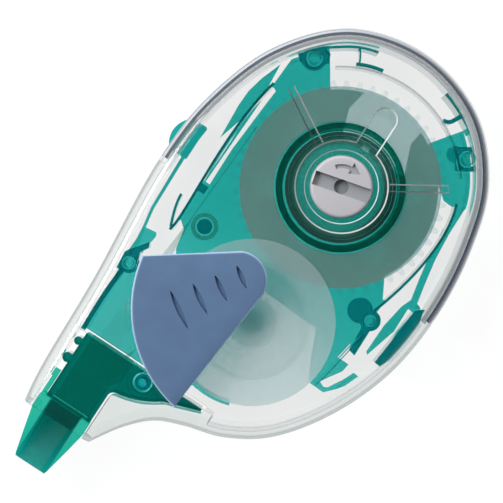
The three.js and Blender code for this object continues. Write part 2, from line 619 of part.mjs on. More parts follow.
// The dark block that turns the tape flat: a box tunnel with a flange and boss
// below it.
function headHolder() {
  const shape = new THREE.Shape();
  shape.moveTo(-42.7, 21.5);
  shape.lineTo(-54.4, 21.5);
  shape.lineTo(-54.4, 13.1);
  shape.lineTo(-48.9, 13.1);
  shape.quadraticCurveTo(-48.0, 12.9, -47.9, 11.8);
  shape.quadraticCurveTo(-47.3, 8.1, -45.0, 5.1);
  shape.lineTo(-42.9, -0.9);
  shape.lineTo(-42.7, -0.9);
  shape.closePath();
  const tunnel = polygon(
    [[-60, 13.9], [-48.3, 13.9], [-46.6, 12.6], [-40, 12.6], [-40, 20.6], [-60, 20.6]], 3.5, 10.5);
  const lugs = join(
    disc(-47.5, 22, 0.85, 4, 10, 20), block(-48.1, -46.9, 21, 22, 4, 10),
    disc(-44.3, 22, 0.7, 4, 10, 20), block(-44.8, -43.8, 21, 22, 4, 10));
  const flangePockets = join(
    disc(HEAD_PIN.x, HEAD_PIN.y, 2.9, 10.7, 12, 32), disc(HEAD_PIN.x, HEAD_PIN.y, 2.9, 1, 3.3, 32));
  const bore = disc(HEAD_PIN.x, HEAD_PIN.y, HEAD_PIN.r + GAP, 0, 13, 24);
  return cut(join(prism(shape, HEAD_Z0, HEAD_Z1), lugs), tunnel, flangePockets, bore);
}

// A flanged hollow pin through the flange of the head holder.
const headPin = () => cut(
  join(disc(HEAD_PIN.x, HEAD_PIN.y, HEAD_PIN.r, 2.6, 11.4, 24),
    disc(HEAD_PIN.x, HEAD_PIN.y, 1.9, 11.0, 11.8, 32)),
  disc(HEAD_PIN.x, HEAD_PIN.y, 0.7, 6, 13, 20));

// The tip: a collar against the head holder, a thin wedge that presses the tape
// down, and a tapering guard on either side of it.
function tip() {
  const collar = cut(
    block(COLLAR_X0, COLLAR_X1, 13.1, 22.5, HEAD_Z0, HEAD_Z1),
    block(COLLAR_X0 - 1, COLLAR_X1 + 1, 14.9, 20.4, 3.6, 10.4));
  const crossSection = (x, half, y0, y1) => [
    new THREE.Vector3(x, y0, MID_Z - half), new THREE.Vector3(x, y1, MID_Z - half),
    new THREE.Vector3(x, y1, MID_Z + half), new THREE.Vector3(x, y0, MID_Z + half)];
  const blade = loft([
    crossSection(TIP_X, 0.16, 14.8, 20.5), crossSection(TIP_X + 0.25, 0.3, 14.8, 20.5),
    crossSection(-56.5, 0.8, 14.5, 20.8)]);
  const guard = (y0, y1, tipY0, tipY1) => loft([
    crossSection(TIP_X + 0.4, 0.9, tipY0, tipY1),
    crossSection(-60.5, 2.4, lerp(tipY0, y0, 0.6), lerp(tipY1, y1, 0.6)),
    crossSection(-56.9, 3.9, y0, y1)]);
  const upper = guard(20.2, 22.5, 20.0, 20.6);
  const lower = guard(13.0, 15.0, 14.7, 15.3);
  const snapArm = join(
    block(-55, -50.2, 21.8, 22.5, 5.2, 8.8), block(-51.4, -50.2, 21.8, 22.75, 5.2, 8.8));
  return join(collar, blade, upper, lower, snapArm);
}

// ---------------------------------------------------------------- tape

// A thin ribbon through a list of stations, each a position and a turn about X
// (0 = width along Z, 90 = width along Y).
function ribbon(stations) {
  const loops = stations.map(({ x, y, z, turn }) => {
    const angle = THREE.MathUtils.degToRad(turn);
    const wide = new THREE.Vector3(0, Math.sin(angle), Math.cos(angle));
    const thin = new THREE.Vector3(0, Math.cos(angle), -Math.sin(angle));
    const corner = (u, v) => new THREE.Vector3(x, y, z)
      .addScaledVector(wide, u * TAPE_WIDTH / 2).addScaledVector(thin, v * FILM / 2);
    return [corner(-1, -1), corner(1, -1), corner(1, 1), corner(-1, 1)];
  });
  return loft(loops);
}

// Evenly spaced stations between two: a straight run with a steady twist.
function run(from, to, steps) {
  const stations = [];
  for (let i = 0; i <= steps; i++) {
    const t = i / steps;
    const mix = (key) => lerp(from[key], to[key], t);
    stations.push({ x: mix('x'), y: mix('y'), z: mix('z'), turn: mix('turn') });
  }
  return stations;
}

// Fresh tape: off the top of the roll, over the guide roller, twisting flat
// through the head, along the wedge and round its tip.
function tapeRunOut() {
  const overGuide = { x: GUIDE.x, y: GUIDE.y + GUIDE.r + 0.35, z: MID_Z, turn: 0 };
  const offRoll = { x: 0.7, y: ROLL_R + 0.4, z: MID_Z, turn: 0 };
  const headTop = { x: -55.5, y: HEAD_Y, z: MID_Z + 1.25, turn: 90 };
  const tipTop = { x: TIP_X - 0.1, y: HEAD_Y, z: MID_Z + 0.65, turn: 90 };
  return ribbon([
    ...run(offRoll, overGuide, 4), ...run(overGuide, headTop, TWIST_STEPS).slice(1),
    ...run(headTop, tipTop, 2).slice(1)]);
}

// Spent film, followed from the take-up reel back to the tip: twisting flat
// through the head and on along the underside of the wedge.
function tapeRunBack() {
  const onReel = { x: -24.2, y: 9.75, z: MID_Z, turn: 180 };
  const upright = { x: -40.5, y: 13.45, z: MID_Z, turn: 180 };
  const headUnder = { x: -56, y: HEAD_Y, z: MID_Z - 1.25, turn: 90 };
  const tipUnder = { x: TIP_X - 0.1, y: HEAD_Y, z: MID_Z - 0.65, turn: 90 };
  return ribbon([
    ...run(onReel, upright, 3), ...run(upright, headUnder, TWIST_STEPS).slice(1),
    ...run(headUnder, tipUnder, 2).slice(1)]);
}

// ---------------------------------------------------------------- assembly

const correctionTape = new THREE.Group();

function addPart(name, solid, look) {
  const mesh = new THREE.Mesh(toGeometry(solid), look);
  mesh.name = name;
  correctionTape.add(mesh);
}

addPart('rear_cover', rearCover(), clear());
addPart('front_cover', frontCover(), clear());
addPart('edge_band', edgeBand(), material(0x1e3c5a, 0.3));
addPart('grip_pad', gripPad(), material(0x5f7da5, 0.75));
addPart('inner_frame', innerFrame(), teal());
addPart('drive_gear', driveGear(), darkGreen());
addPart('clutch_spring', clutchSpring(), material(0xd8d8d2, 0.4));
addPart('supply_hub', supplyHub(), teal());
addPart('supply_core', supplyCore(), darkGreen());
addPart('tape_roll', tapeRoll(), material(0x697869, 0.6));
addPart('rewind_knob', rewindKnob(), material(0xc8c1c6, 0.5));
addPart('takeup_gear', takeupGear(), teal());
addPart('takeup_reel', takeupReel(), material(0xc3d0cb, 0.5, { transparent: true, opacity: 0.7 }));
addPart('takeup_wind', takeupWind(), material(0xdfe6e2, 0.5));
addPart('guide_roller', guideRoller(), darkGreen());
addPart('head_holder', headHolder(), darkGreen());
addPart('head_pin', headPin(), clear());
addPart('tip', tip(), teal());
addPart('tape_run_out', tapeRunOut(), material(0xf4f5f2, 0.6));
addPart('tape_run_back', tapeRunBack(), material(0xdde7e4, 0.3, { transparent: true, opacity: 0.5 }));

export default correctionTape;
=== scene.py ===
"""Looks of the correction tape roller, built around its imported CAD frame.

Lengths in the constants and in the shape helpers are millimetres; mesh_object()
turns them into the frame's metres. Each CAD node gets either a finer piece in its
place or softened edges of its own, and a procedural material.
"""

import math

import bpy
import numpy as np
from mathutils import Matrix, Vector


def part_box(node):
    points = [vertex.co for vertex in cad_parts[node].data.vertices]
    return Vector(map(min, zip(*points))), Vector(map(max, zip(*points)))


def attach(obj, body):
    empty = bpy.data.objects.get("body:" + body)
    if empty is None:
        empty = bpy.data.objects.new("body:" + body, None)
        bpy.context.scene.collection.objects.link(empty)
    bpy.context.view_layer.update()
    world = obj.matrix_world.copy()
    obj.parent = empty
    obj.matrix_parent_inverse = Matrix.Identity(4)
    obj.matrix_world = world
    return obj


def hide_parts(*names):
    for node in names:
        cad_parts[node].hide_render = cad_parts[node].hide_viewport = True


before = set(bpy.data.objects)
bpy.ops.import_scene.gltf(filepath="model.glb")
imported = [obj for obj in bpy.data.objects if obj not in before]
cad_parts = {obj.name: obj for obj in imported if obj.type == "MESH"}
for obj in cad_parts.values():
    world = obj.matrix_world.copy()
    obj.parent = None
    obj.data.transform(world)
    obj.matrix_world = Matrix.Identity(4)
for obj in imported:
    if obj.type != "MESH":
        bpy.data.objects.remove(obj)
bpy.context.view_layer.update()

MM = 0.001


def node_box(node):
    """The lowest and highest corner of a CAD node, in millimetres."""
    low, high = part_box(node)
    return [value / MM for value in low], [value / MM for value in high]


# ---------------------------------------------------------------- dimensions

REAR_LOW, _ = node_box("rear_cover")
_, FRONT_HIGH = node_box("front_cover")
BAND_LOW, BAND_HIGH = node_box("edge_band")
PAD_LOW, PAD_HIGH = node_box("grip_pad")
HOLDER_LOW, HOLDER_HIGH = node_box("head_holder")
TIP_LOW, TIP_HIGH = node_box("tip")
CORE_LOW, CORE_HIGH = node_box("supply_core")
HUB_LOW, _ = node_box("supply_hub")
ROLL_LOW, ROLL_HIGH = node_box("tape_roll")
KNOB_LOW, KNOB_HIGH = node_box("rewind_knob")
REEL_LOW, REEL_HIGH = node_box("takeup_reel")
WIND_LOW, WIND_HIGH = node_box("takeup_wind")

GAP = 0.3

# The case: its two faces, its walls and its rounded edges as (height, depth).
CASE_Z0 = REAR_LOW[2]
CASE_Z1 = FRONT_HIGH[2]
MID_Z = (CASE_Z0 + CASE_Z1) / 2
SIDE_WALL = 1.2
FACE_WALL = 1.1
ROOF_Z = CASE_Z1 - FACE_WALL
OUTER_ROUNDING = (3.4, 2.6)
INNER_ROUNDING = (2.4, 1.7)
SLOT_EDGE_X = HOLDER_HIGH[0] + 0.4
NOSE_X = -57.0

# The dark band, which runs from the belly round the wide end to the top edge.
BAND_START_X = -10.6
BAND_END_X = -11.2
BAND_THICK = 1.0
BAND_BACKING = 1.2
BACKING_LIP = 1.3

# The knob's opening and the shallow keyhole step round it.
KNOB_R = KNOB_HIGH[0]
KNOB_HOLE_R = KNOB_R + 0.8
KEYHOLE_R = 7.5
KEYHOLE_END_X = 12.9
KEYHOLE_HALF = 1.9
STEP_DEPTH = 0.35

# The inner frame's plate, walls and blocks.
PLATE_Z0 = 1.5
PLATE_Z1 = 2.5
BOSS_TOP = 8.2
WALL_TOP = 10.5
FRAME_MARGIN = 2.3

# The reels turn about the origin and about (REEL_X, 0).
CORE_R = CORE_HIGH[0]
ROLL_R = ROLL_HIGH[0]
REEL_X = (REEL_LOW[0] + REEL_HIGH[0]) / 2
REEL_R = REEL_HIGH[0] - REEL_X
WIND_R = WIND_HIGH[0] - REEL_X
DRUM_R = WIND_R - 0.65
AXLE_R = 2.2

GUIDE_X = -17.5
GUIDE_Y = 15.0
GUIDE_POST_R = 1.25
GUIDE_R = 2.25

# The head, its pin and the tip.
HEAD_Y = 17.65
TIP_X = TIP_LOW[0]
PIN_X = -44.2
PIN_Y = 9.5
PIN_R = 1.35

TAPE_WIDTH = ROLL_HIGH[2] - ROLL_LOW[2]
FILM = 0.12

# Points on the edge of the case, anticlockwise from the wide end.
OUTLINE_POINTS = [
    (25.7, 0), (22.6, 12.6), (13.0, 21.6), (0, 26.2), (-12, 27.2), (-34, 25.5),
    (-55, 24.3), (-61, 22.6), (-63, 18), (-61, 13.7), (-56.6, 11.2), (-52.0, 8.2),
    (-48.4, 4.6), (-46.4, 0), (-44.6, -6), (-40.4, -12.6), (-32, -18.9), (-21, -23.3),
    (-9, -24.6), (3, -23.4), (13.5, -20.0), (22.0, -12.2),
]
OUTLINE_COUNT = 260

# Case bosses: centre, radius and bore.
BOSSES = [
    (15.3, 15.1, 2.0, 1.35), (15.2, -14.8, 2.0, 1.4), (-15.5, -16.0, 1.75, 1.0), (-29.2, 22.1, 1.7, 1.1),
]

# ---------------------------------------------------------------- outline helpers


def blend(a, b, low, high, t):
    """a at low, b at high, and in proportion between them."""
    return ((high - t) * a + (t - low) * b) / (high - low)


def spline_point(p, knots, t):
    """The point at t on the stretch between the second and third of four points."""
    first = [blend(p[j], p[j + 1], knots[j], knots[j + 1], t) for j in range(3)]
    second = [blend(first[j], first[j + 1], knots[j], knots[j + 2], t) for j in range(2)]
    return blend(second[0], second[1], knots[1], knots[2], t)


def catmull_rom(points, count):
    """Evenly spaced points on a closed centripetal spline."""
    pts = np.array(points, float)
    total = len(pts)
    dense = []
    for i in range(total):
        p = [pts[(i + k - 1) % total] for k in range(4)]
        knots = [0.0]
        for k in range(3):
            knots.append(knots[-1] + math.sqrt(np.linalg.norm(p[k + 1] - p[k])))
        for t in np.linspace(knots[1], knots[2], 40, endpoint=False):
            dense.append(spline_point(p, knots, t))
    return resample(np.array(dense), count)


def resample(loop, count):
    """The same closed loop with evenly spaced points."""
    closed = np.vstack([loop, loop[:1]])
    steps = np.linalg.norm(np.diff(closed, axis=0), axis=1)
    along = np.concatenate([[0], np.cumsum(steps)])
    wanted = np.linspace(0, along[-1], count, endpoint=False)
    return np.column_stack([np.interp(wanted, along, closed[:, k]) for k in (0, 1)])


OUTLINE = catmull_rom(OUTLINE_POINTS, OUTLINE_COUNT)


def inset(loop, distance):
    """A closed anticlockwise loop moved inwards."""
    along = np.roll(loop, -1, axis=0) - np.roll(loop, 1, axis=0)
    along /= np.linalg.norm(along, axis=1)[:, None]
    return loop + np.column_stack([-along[:, 1], along[:, 0]]) * distance


def arc(x, y, radius, start, end, steps=24):
    """Points on an arc, angles in degrees."""
    angles = np.radians(np.linspace(start, end, steps + 1))
    return [(x + radius * math.cos(a), y + radius * math.sin(a)) for a in angles]


def circle(x, y, radius, steps):
    """Points once round a circle."""
    return arc(x, y, radius, 0, 360, steps)[:-1]


def bend(start, control, end, steps=10):
    """Points on a quadratic curve."""
    p0, p1, p2 = (np.array(p, float) for p in (start, control, end))
    ts = np.linspace(0, 1, steps + 1)
    return [tuple((1 - t) ** 2 * p0 + 2 * t * (1 - t) * p1 + t * t * p2) for t in ts]


def smooth_line(points, steps=14):
    """Points on an open smooth line through a few points."""
    pts = np.array(points, float)
    ts = np.linspace(0, len(pts) - 1, steps + 1)
    degree = len(pts) - 1
    fits = [np.polyfit(range(len(pts)), pts[:, k], degree) for k in (0, 1)]
    return np.column_stack([np.polyval(fit, ts) for fit in fits])


# ---------------------------------------------------------------- solid helpers


def mesh_object(vertices, faces):
    mesh = bpy.data.meshes.new("solid")
    mesh.from_pydata([tuple(c * MM for c in v) for v in vertices], [], faces)
    mesh.update()
    obj = bpy.data.objects.new("solid", mesh)
    bpy.context.scene.collection.objects.link(obj)
    return obj


def loft(loops):
    """A closed solid through equal-length 3-D loops, with flat ends."""
    count = len(loops[0])
    vertices = [tuple(v) for loop in loops for v in loop]
    faces = []
    for ring in range(len(loops) - 1):
        for i in range(count):
            a = ring * count + i
            b = ring * count + (i + 1) % count
            faces.append((a, b, b + count, a + count))
    faces.append(tuple(reversed(range(count))))
    faces.append(tuple(range((len(loops) - 1) * count, len(loops) * count)))
    return mesh_object(vertices, faces)


def at_height(loop, z):
    return [(x, y, z) for x, y in loop]


def slab(points, z0, z1):
    """A prism of an outline given in either direction."""
    pts = [tuple(p) for p in points]
    area = sum(a[0] * b[1] - b[0] * a[1] for a, b in zip(pts, pts[1:] + pts[:1]))
    if area < 0:
        pts.reverse()
    return loft([at_height(pts, z0), at_height(pts, z1)])


def block(x0, x1, y0, y1, z0, z1):
    return slab([(x0, y0), (x1, y0), (x1, y1), (x0, y1)], z0, z1)


def disc(x, y, radius, z0, z1, steps=64):
    return slab(circle(x, y, radius, steps), z0, z1)


def turned_solid(profile, steps):
    """A solid round the vertical axis at the origin, through (radius, z) pairs."""
    return loft([at_height(circle(0, 0, radius, steps), z) for radius, z in profile])


def combine(base, tools, operation):
    """Joins, cuts or intersects base with each tool in turn."""
    for tool in tools:
        modifier = base.modifiers.new("boolean", "BOOLEAN")
        modifier.operation = operation
        modifier.solver = "MANIFOLD"
        modifier.object = tool
        depsgraph = bpy.context.evaluated_depsgraph_get()
        result = bpy.data.meshes.new_from_object(base.evaluated_get(depsgraph))
        base.modifiers.clear()
        base.data = result
        bpy.data.objects.remove(tool)
    return base


def join(base, *tools):
    return combine(base, tools, "UNION")


def cut(base, *tools):
    return combine(base, tools, "DIFFERENCE")


def keep_inside(base, tool):
    return combine(base, [tool], "INTERSECT")


def tube(x, y, outer, inner, z0, z1, steps=64):
    return cut(disc(x, y, outer, z0, z1, steps), disc(x, y, inner, z0 - 1, z1 + 1, steps))


def turned(obj, degrees):
    """The same solid, turned about the vertical axis at the origin."""
    obj.data.transform(Matrix.Rotation(math.radians(degrees), 4, "Z"))
    return obj


def curved_wall(points, thickness, z0, z1):
    """A standing wall that follows a smooth line through a few points."""
    line = smooth_line(points)
    along = np.gradient(line, axis=0)
    along /= np.linalg.norm(along, axis=1)[:, None]
    side = np.column_stack([-along[:, 1], along[:, 0]]) * thickness / 2
    return slab(list(line - side) + list((line + side)[::-1]), z0, z1)


def soften(obj, width):
    """Rounds the sharp edges a little and shades the rest smoothly."""
    for polygon in obj.data.polygons:
        polygon.use_smooth = True
    bevel = obj.modifiers.new("soft_edges", "BEVEL")
    bevel.width = width * MM
    bevel.segments = 2
    bevel.limit_method = "ANGLE"
    bevel.angle_limit = math.radians(32)
    bevel.use_clamp_overlap = True
    bevel.harden_normals = True


def set_material(obj, material):
    obj.data.materials.clear()
    obj.data.materials.append(material)


def finish_piece(obj, name, body, node, material, edge=0.12):
    """Names a piece, gives it its finish and hangs it on its body in its node's place."""
    obj.name = name
    obj.data.name = name
    set_material(obj, material)
    if edge:
        soften(obj, edge)
    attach(obj, body)
    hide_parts(node)


# ---------------------------------------------------------------- colours and node graphs


def grey(level):
    return (level, level, level, 1)


BLACK = grey(0.0)
WHITE = grey(1.0)
BUMP_HEIGHT = 0.03


def rgb(red, green, blue):
    """An sRGB colour in 0 to 255 as linear values."""
    values = []
    for channel in (red, green, blue):
        c = channel / 255
        values.append(c / 12.92 if c <= 0.04045 else ((c + 0.055) / 1.055) ** 2.4)
    return (*values, 1)


def shaded(color, factor):
    """A colour made darker or lighter."""
    return (*[min(1, c * factor) for c in color[:3]], 1)


class Nodes:
    """A small wrapper that builds the node graph of a material or of the world."""

    def __init__(self, owner, output="OutputMaterial"):
        owner.use_nodes = True
        self.owner = owner
        self.tree = owner.node_tree
        self.tree.nodes.clear()
        self.output = self.add(output)

    def add(self, kind, **settings):
        node = self.tree.nodes.new("ShaderNode" + kind)
        for key, value in settings.items():
            setattr(node, key, value)
        return node

    def put(self, value, socket):
        """Gives an input a value, or links another node's output to it."""
        if isinstance(value, bpy.types.NodeSocket):
            self.tree.links.new(value, socket)
        else:
            socket.default_value = value

    def feed(self, node, **inputs):
        """Sets a node's inputs by name."""
        for key, value in inputs.items():
            self.put(value, node.inputs[key.replace("_", " ")])
        return node

    def shader(self, kind, **inputs):
        return self.feed(self.add(kind), **inputs).outputs[0]

    def position(self):
        return self.add("TexCoord").outputs["Object"]

    def geometry(self, output):
        return self.add("NewGeometry").outputs[output]

    def noise(self, scale, detail=3.0):
        """Noise in the piece's own frame: scale is in features per millimetre."""
        mapping = self.feed(self.add("Mapping"), Vector=self.position(), Scale=[scale / MM] * 3)
        texture = self.feed(self.add("TexNoise"), Vector=mapping.outputs[0], Scale=1.0, Detail=detail)
        return texture.outputs["Fac"]

    def ramp(self, source, stops):
        node = self.feed(self.add("ValToRGB"), Fac=source)
        elements = node.color_ramp.elements
        while len(elements) < len(stops):
            elements.new(0.5)
        for element, (position, color) in zip(elements, stops):
            element.position = position
            element.color = color
        return node.outputs["Color"]

    def between(self, source, low, high, start=0.0, end=1.0):
        """Maps start to low and end to high, and holds beyond them."""
        limits = {"From Min": start, "From Max": end, "To Min": low, "To Max": high}
        return self.feed(self.add("MapRange"), Value=source, **limits).outputs[0]

    def math(self, operation, a, b=0.0):
        node = self.add("Math", operation=operation)
        self.put(a, node.inputs[0])
        self.put(b, node.inputs[1])
        return node.outputs[0]

    def towards(self, vector, direction):
        """How far a vector points along a direction."""
        node = self.add("VectorMath", operation="DOT_PRODUCT")
        self.put(vector, node.inputs[0])
        self.put(direction, node.inputs[1])
        return node.outputs["Value"]

    def part_of(self, vector, axis):
        split = self.feed(self.add("SeparateXYZ"), Vector=vector)
        return split.outputs[axis]

    def mix_colors(self, factor, a, b):
        node = self.add("Mix", data_type="RGBA")
        for index, value in ((0, factor), (6, a), (7, b)):
            self.put(value, node.inputs[index])
        return node.outputs[2]

    def mix_shaders(self, factor, a, b):
        node = self.add("MixShader")
        for index, value in enumerate((factor, a, b)):
            self.put(value, node.inputs[index])
        return node.outputs[0]

    def bump(self, source, strength):
        return self.shader("Bump", Height=source, Strength=strength, Distance=BUMP_HEIGHT * MM)

    def facing(self, power):
        """0 where the surface faces the eye, 1 where it is seen edge on."""
        weight = self.feed(self.add("LayerWeight"), Blend=0.5)
        return self.math("POWER", weight.outputs["Facing"], power)

    def slope(self):
        """0 on level faces, 1 on upright ones, whatever the view."""
        return self.math("SUBTRACT", 1.0, self.math("ABSOLUTE", self.part_of(self.geometry("Normal"), 2)))

    def sloped(self, start, full, hold, end):
        """Marks faces by slope: rises to 1 from start to full, and falls from hold to end."""
        return self.ramp(self.slope(), [(start, BLACK), (full, WHITE), (hold, WHITE), (end, BLACK)])

    def along_axis(self, axis):
        """Position along x, y or z (0, 1 or 2), in millimetres."""
        return self.math("DIVIDE", self.part_of(self.position(), axis), MM)

    def radius_from(self, x, y):
        """Distance from a vertical axis, in millimetres."""
        dx = self.math("SUBTRACT", self.along_axis(0), x)
        dy = self.math("SUBTRACT", self.along_axis(1), y)
        total = self.math("ADD", self.math("MULTIPLY", dx, dx), self.math("MULTIPLY", dy, dy))
        return self.math("SQRT", total)

    def done(self, surface, volume=None):
        """Links the result to the output, and returns the finished material or world."""
        self.put(surface, self.output.inputs["Surface"])
        if volume is not None:
            self.put(volume, self.output.inputs["Volume"])
        return self.owner


def new_material(name):
    return Nodes(bpy.data.materials.new(name))


# ---------------------------------------------------------------- clear plastics

LEAST_PASSED = 0.02
DENSE_SHARE = 0.85
MIRROR_SHARE = 0.85
BACK_GLOSS = 0.25


def clouded(n, clear, body, share, backlit, dense_zone):
    """Adds the milky body colour, in faint streaks; backlit is lit from behind."""
    cloud = n.shader("BsdfDiffuse", Color=body)
    if backlit:
        cloud = n.mix_shaders(backlit, cloud, n.shader("BsdfTranslucent", Color=body))
    amount = n.math("MULTIPLY", n.between(n.noise(0.35), 0.85, 1.15), share)
    if dense_zone is not None:
        amount = n.math("MAXIMUM", amount, n.math("MULTIPLY", dense_zone(n), DENSE_SHARE))
    return n.mix_shaders(amount, clear, cloud)


def glinting(n, clear, share, rim_share):
    """Whitens rounded edges, which bend the bright surroundings to the eye."""
    if rim_share is not None:
        outside = n.math("GREATER_THAN", n.radius_from(0, 0), ROLL_R + 2)
        share = n.between(outside, share, rim_share)
    edges = n.sloped(0.07, 0.18, 0.45, 0.6)
    shine = n.shader("BsdfDiffuse", Color=(0.97, 0.99, 0.99, 1))
    return n.mix_shaders(n.math("MULTIPLY", edges, share), clear, shine)


def mirroring(n, clear, inside, color, zone):
    """Lets the sloped inner faces within a zone throw back a colour."""
    seen_back = n.math("MULTIPLY", n.math("MULTIPLY", n.sloped(0.24, 0.32, 0.62, 0.7), inside), zone(n))
    image = n.shader("BsdfTransparent", Color=color)
    return n.mix_shaders(n.math("MULTIPLY", seen_back, MIRROR_SHARE), clear, image)


def glossy(n, clear, inside, roughness, gloss_scale):
    """Lays the skin's reflections over the rest, weaker on the inner side."""
    waves = n.bump(n.noise(0.5), 0.15)
    spread = n.between(n.noise(2.0), roughness * 0.7, roughness * 1.4)
    gloss = n.shader("BsdfGlossy", Color=WHITE, Roughness=spread, Normal=waves)
    fresnel = n.shader("Fresnel", IOR=1.45, Normal=waves)
    side = n.between(inside, gloss_scale, gloss_scale * BACK_GLOSS)
    return n.mix_shaders(n.math("MULTIPLY", fresnel, side), clear, gloss)


def absorbing(n, per_mm):
    """A volume that lets through the given share of each colour per millimetre."""
    kept = [max(share, LEAST_PASSED) for share in per_mm]
    strength = -math.log(min(kept)) / MM
    color = (*[1 + math.log(share) / MM / strength for share in kept], 1)
    return n.shader("VolumeAbsorption", Color=color, Density=strength)


def see_through(name, face_tint, edge_tint, per_mm, edge_power=2.0, zone=None, zone_tint=None,
                body=None, body_share=0.0, backlit=0.0, dense_zone=None, glint=0.0, rim_glint=None,
                mirrored=None, mirror_zone=None, roughness=0.08, gloss_scale=1.0):
    """Clear or tinted plastic: light passes straight through, tinted at each skin and
    more so where a wall is seen edge on. per_mm is what a millimetre lets through.
    zone is a function that marks where zone_tint takes over from face_tint, and
    rim_glint replaces glint further out than the tape roll."""
    n = new_material(name)
    face = face_tint
    if zone is not None:
        face = n.mix_colors(zone(n), face_tint, zone_tint)
    tint = n.mix_colors(n.facing(edge_power), face, edge_tint)
    seen = n.shader("BsdfTransparent", Color=tint)
    inside = n.geometry("Backfacing")
    if body is not None:
        seen = clouded(n, seen, body, body_share, backlit, dense_zone)
    if glint:
        seen = glinting(n, seen, glint, rim_glint)
    if mirrored is not None:
        seen = mirroring(n, seen, inside, mirrored, mirror_zone)
    seen = glossy(n, seen, inside, roughness, gloss_scale)
    passing = n.shader("BsdfTransparent", Color=face_tint)
    from_eye = n.add("LightPath").outputs["Is Camera Ray"]
    return n.done(n.mix_shaders(from_eye, passing, seen), absorbing(n, per_mm))


def tip_side(n):
    """Rises from 0 to 1 towards the tip, over the part of the frame beside the pad."""
    return n.between(n.along_axis(0), 0.0, 1.0, -14.0, -30.0)


def hub_rim(n):
    """Rises from 0 to 1 towards the rim of the supply hub, which sits in the dark core."""
    return n.between(n.radius_from(0, 0), 0.0, 1.0, 6.8, 8.6)


def reel_centre(n):
    """1 over the thick hub of the take-up reel, fading out to its drum."""
    return n.between(n.radius_from(REEL_X, 0), 1.0, 0.0, 3.4, 6.0)


def beside_band(n):
    """1 over the stretch of the case that carries the dark band."""
    return n.math("GREATER_THAN", n.along_axis(0), -11.0)


CLEAR = see_through(
    "clear_case", rgb(252, 252, 252), rgb(120, 138, 142), (0.994, 0.997, 0.996), edge_power=4.0,
    glint=0.75, rim_glint=0.06, mirrored=rgb(45, 92, 118), mirror_zone=beside_band)
TEAL = see_through(
    "teal_frame", rgb(130, 231, 224), rgb(30, 170, 160), (0.50, 0.84, 0.87),
    zone=tip_side, zone_tint=rgb(168, 240, 234), body=rgb(10, 165, 155), body_share=0.10, glint=0.12)
PALE_TEAL = see_through(
    "pale_teal", rgb(225, 246, 243), rgb(140, 212, 204), (0.80, 0.94, 0.93),
    body=rgb(110, 175, 168), body_share=0.12, glint=0.35)
HUB_TEAL = see_through(
    "hub_teal", rgb(214, 240, 236), rgb(140, 212, 204), (0.80, 0.94, 0.93),
    zone=hub_rim, zone_tint=rgb(50, 140, 130), body=rgb(110, 175, 168), body_share=0.12, glint=0.35)
GEAR_CLEAR = see_through(
    "clear_gear", rgb(253, 254, 254), rgb(235, 245, 244), (0.97, 0.99, 0.99),
    body=rgb(225, 240, 238), body_share=0.02)
GREEN = see_through(
    "dark_green", rgb(95, 208, 196), rgb(0, 70, 60), (0.50, 0.88, 0.87),
    body=rgb(0, 88, 76), body_share=0.25, glint=0.05)
HEAD_GREEN = see_through(
    "head_green", rgb(140, 226, 218), rgb(0, 70, 60), (0.52, 0.89, 0.89),
    body=rgb(0, 118, 104), body_share=0.34, glint=0.1)
FROSTED = see_through(
    "frosted_reel", rgb(248, 252, 252), rgb(210, 222, 222), (0.98, 0.985, 0.985),
    body=rgb(224, 237, 240), body_share=0.50, backlit=0.6, dense_zone=reel_centre, roughness=0.35)
FILM_CLEAR = see_through(
    "film", rgb(253, 254, 254), rgb(215, 228, 224), (0.95, 0.96, 0.955),
    body=rgb(225, 232, 230), body_share=0.015, roughness=0.15, gloss_scale=0.15)

# ---------------------------------------------------------------- other materials


def moulded(n, shade, rough_low, rough_high, grain_scale, grain_depth):
    """An opaque plastic or rubber skin with a fine grain."""
    grain = n.noise(grain_scale, 2.0)
    return n.shader("BsdfPrincipled", Base_Color=shade, Roughness=n.between(grain, rough_low, rough_high),
                    Normal=n.bump(grain, grain_depth))


def solid_plastic(name, color, roughness, grain_scale, grain_depth, rim=None):
    """An opaque plastic or rubber; rim is a painted highlight colour laid on its rounded edges."""
    n = new_material(name)
    shade = n.ramp(n.noise(0.25), [(0.3, shaded(color, 0.94)), (0.7, shaded(color, 1.06))])
    if rim is not None:
        # Painted highlight: sloped faces of the rounded edges turn towards the rim colour, whatever the
        # light.
        shade = n.mix_colors(n.sloped(0.06, 0.3, 0.8, 1.0), shade, rim)
    return n.done(moulded(n, shade, roughness * 0.85, roughness * 1.15, grain_scale, grain_depth))


def band_material():
    """Navy plastic with a painted reflection: pale grey on the rounded shoulders that face the bright side.
    """
    n = new_material("navy_band")
    # Painted reflection of the bright surroundings, laid on shoulders that face the bright side of the
    # tent.
    bright_side = n.between(n.towards(n.geometry("Normal"), (0.45, 0.89, 0.0)), 0.06, 0.85, 0.0, 0.8)
    painted_reflection = n.math("MULTIPLY", n.sloped(0.05, 0.2, 0.7, 0.88), bright_side)
    shade = n.mix_colors(painted_reflection, rgb(16, 50, 80), rgb(205, 214, 224))
    return n.done(moulded(n, shade, 0.15, 0.25, 3.0, 0.05))


def roll_material():
    """Wound tape: a thin film that lets some of the colour below through."""
    n = new_material("wound_tape")
    rings = n.feed(n.add("TexNoise", noise_dimensions="1D"), Detail=2,
                   W=n.math("MULTIPLY", n.radius_from(0, 0), 1.6))
    shade = n.ramp(rings.outputs["Fac"], [(0.3, rgb(156, 116, 110)), (0.7, rgb(166, 126, 120))])
    body = n.shader("BsdfPrincipled", Base_Color=shade, Roughness=0.5)
    through = n.shader("BsdfTransparent", Color=(0.74, 0.96, 0.97, 1))
    return n.done(n.mix_shaders(0.72, body, through))


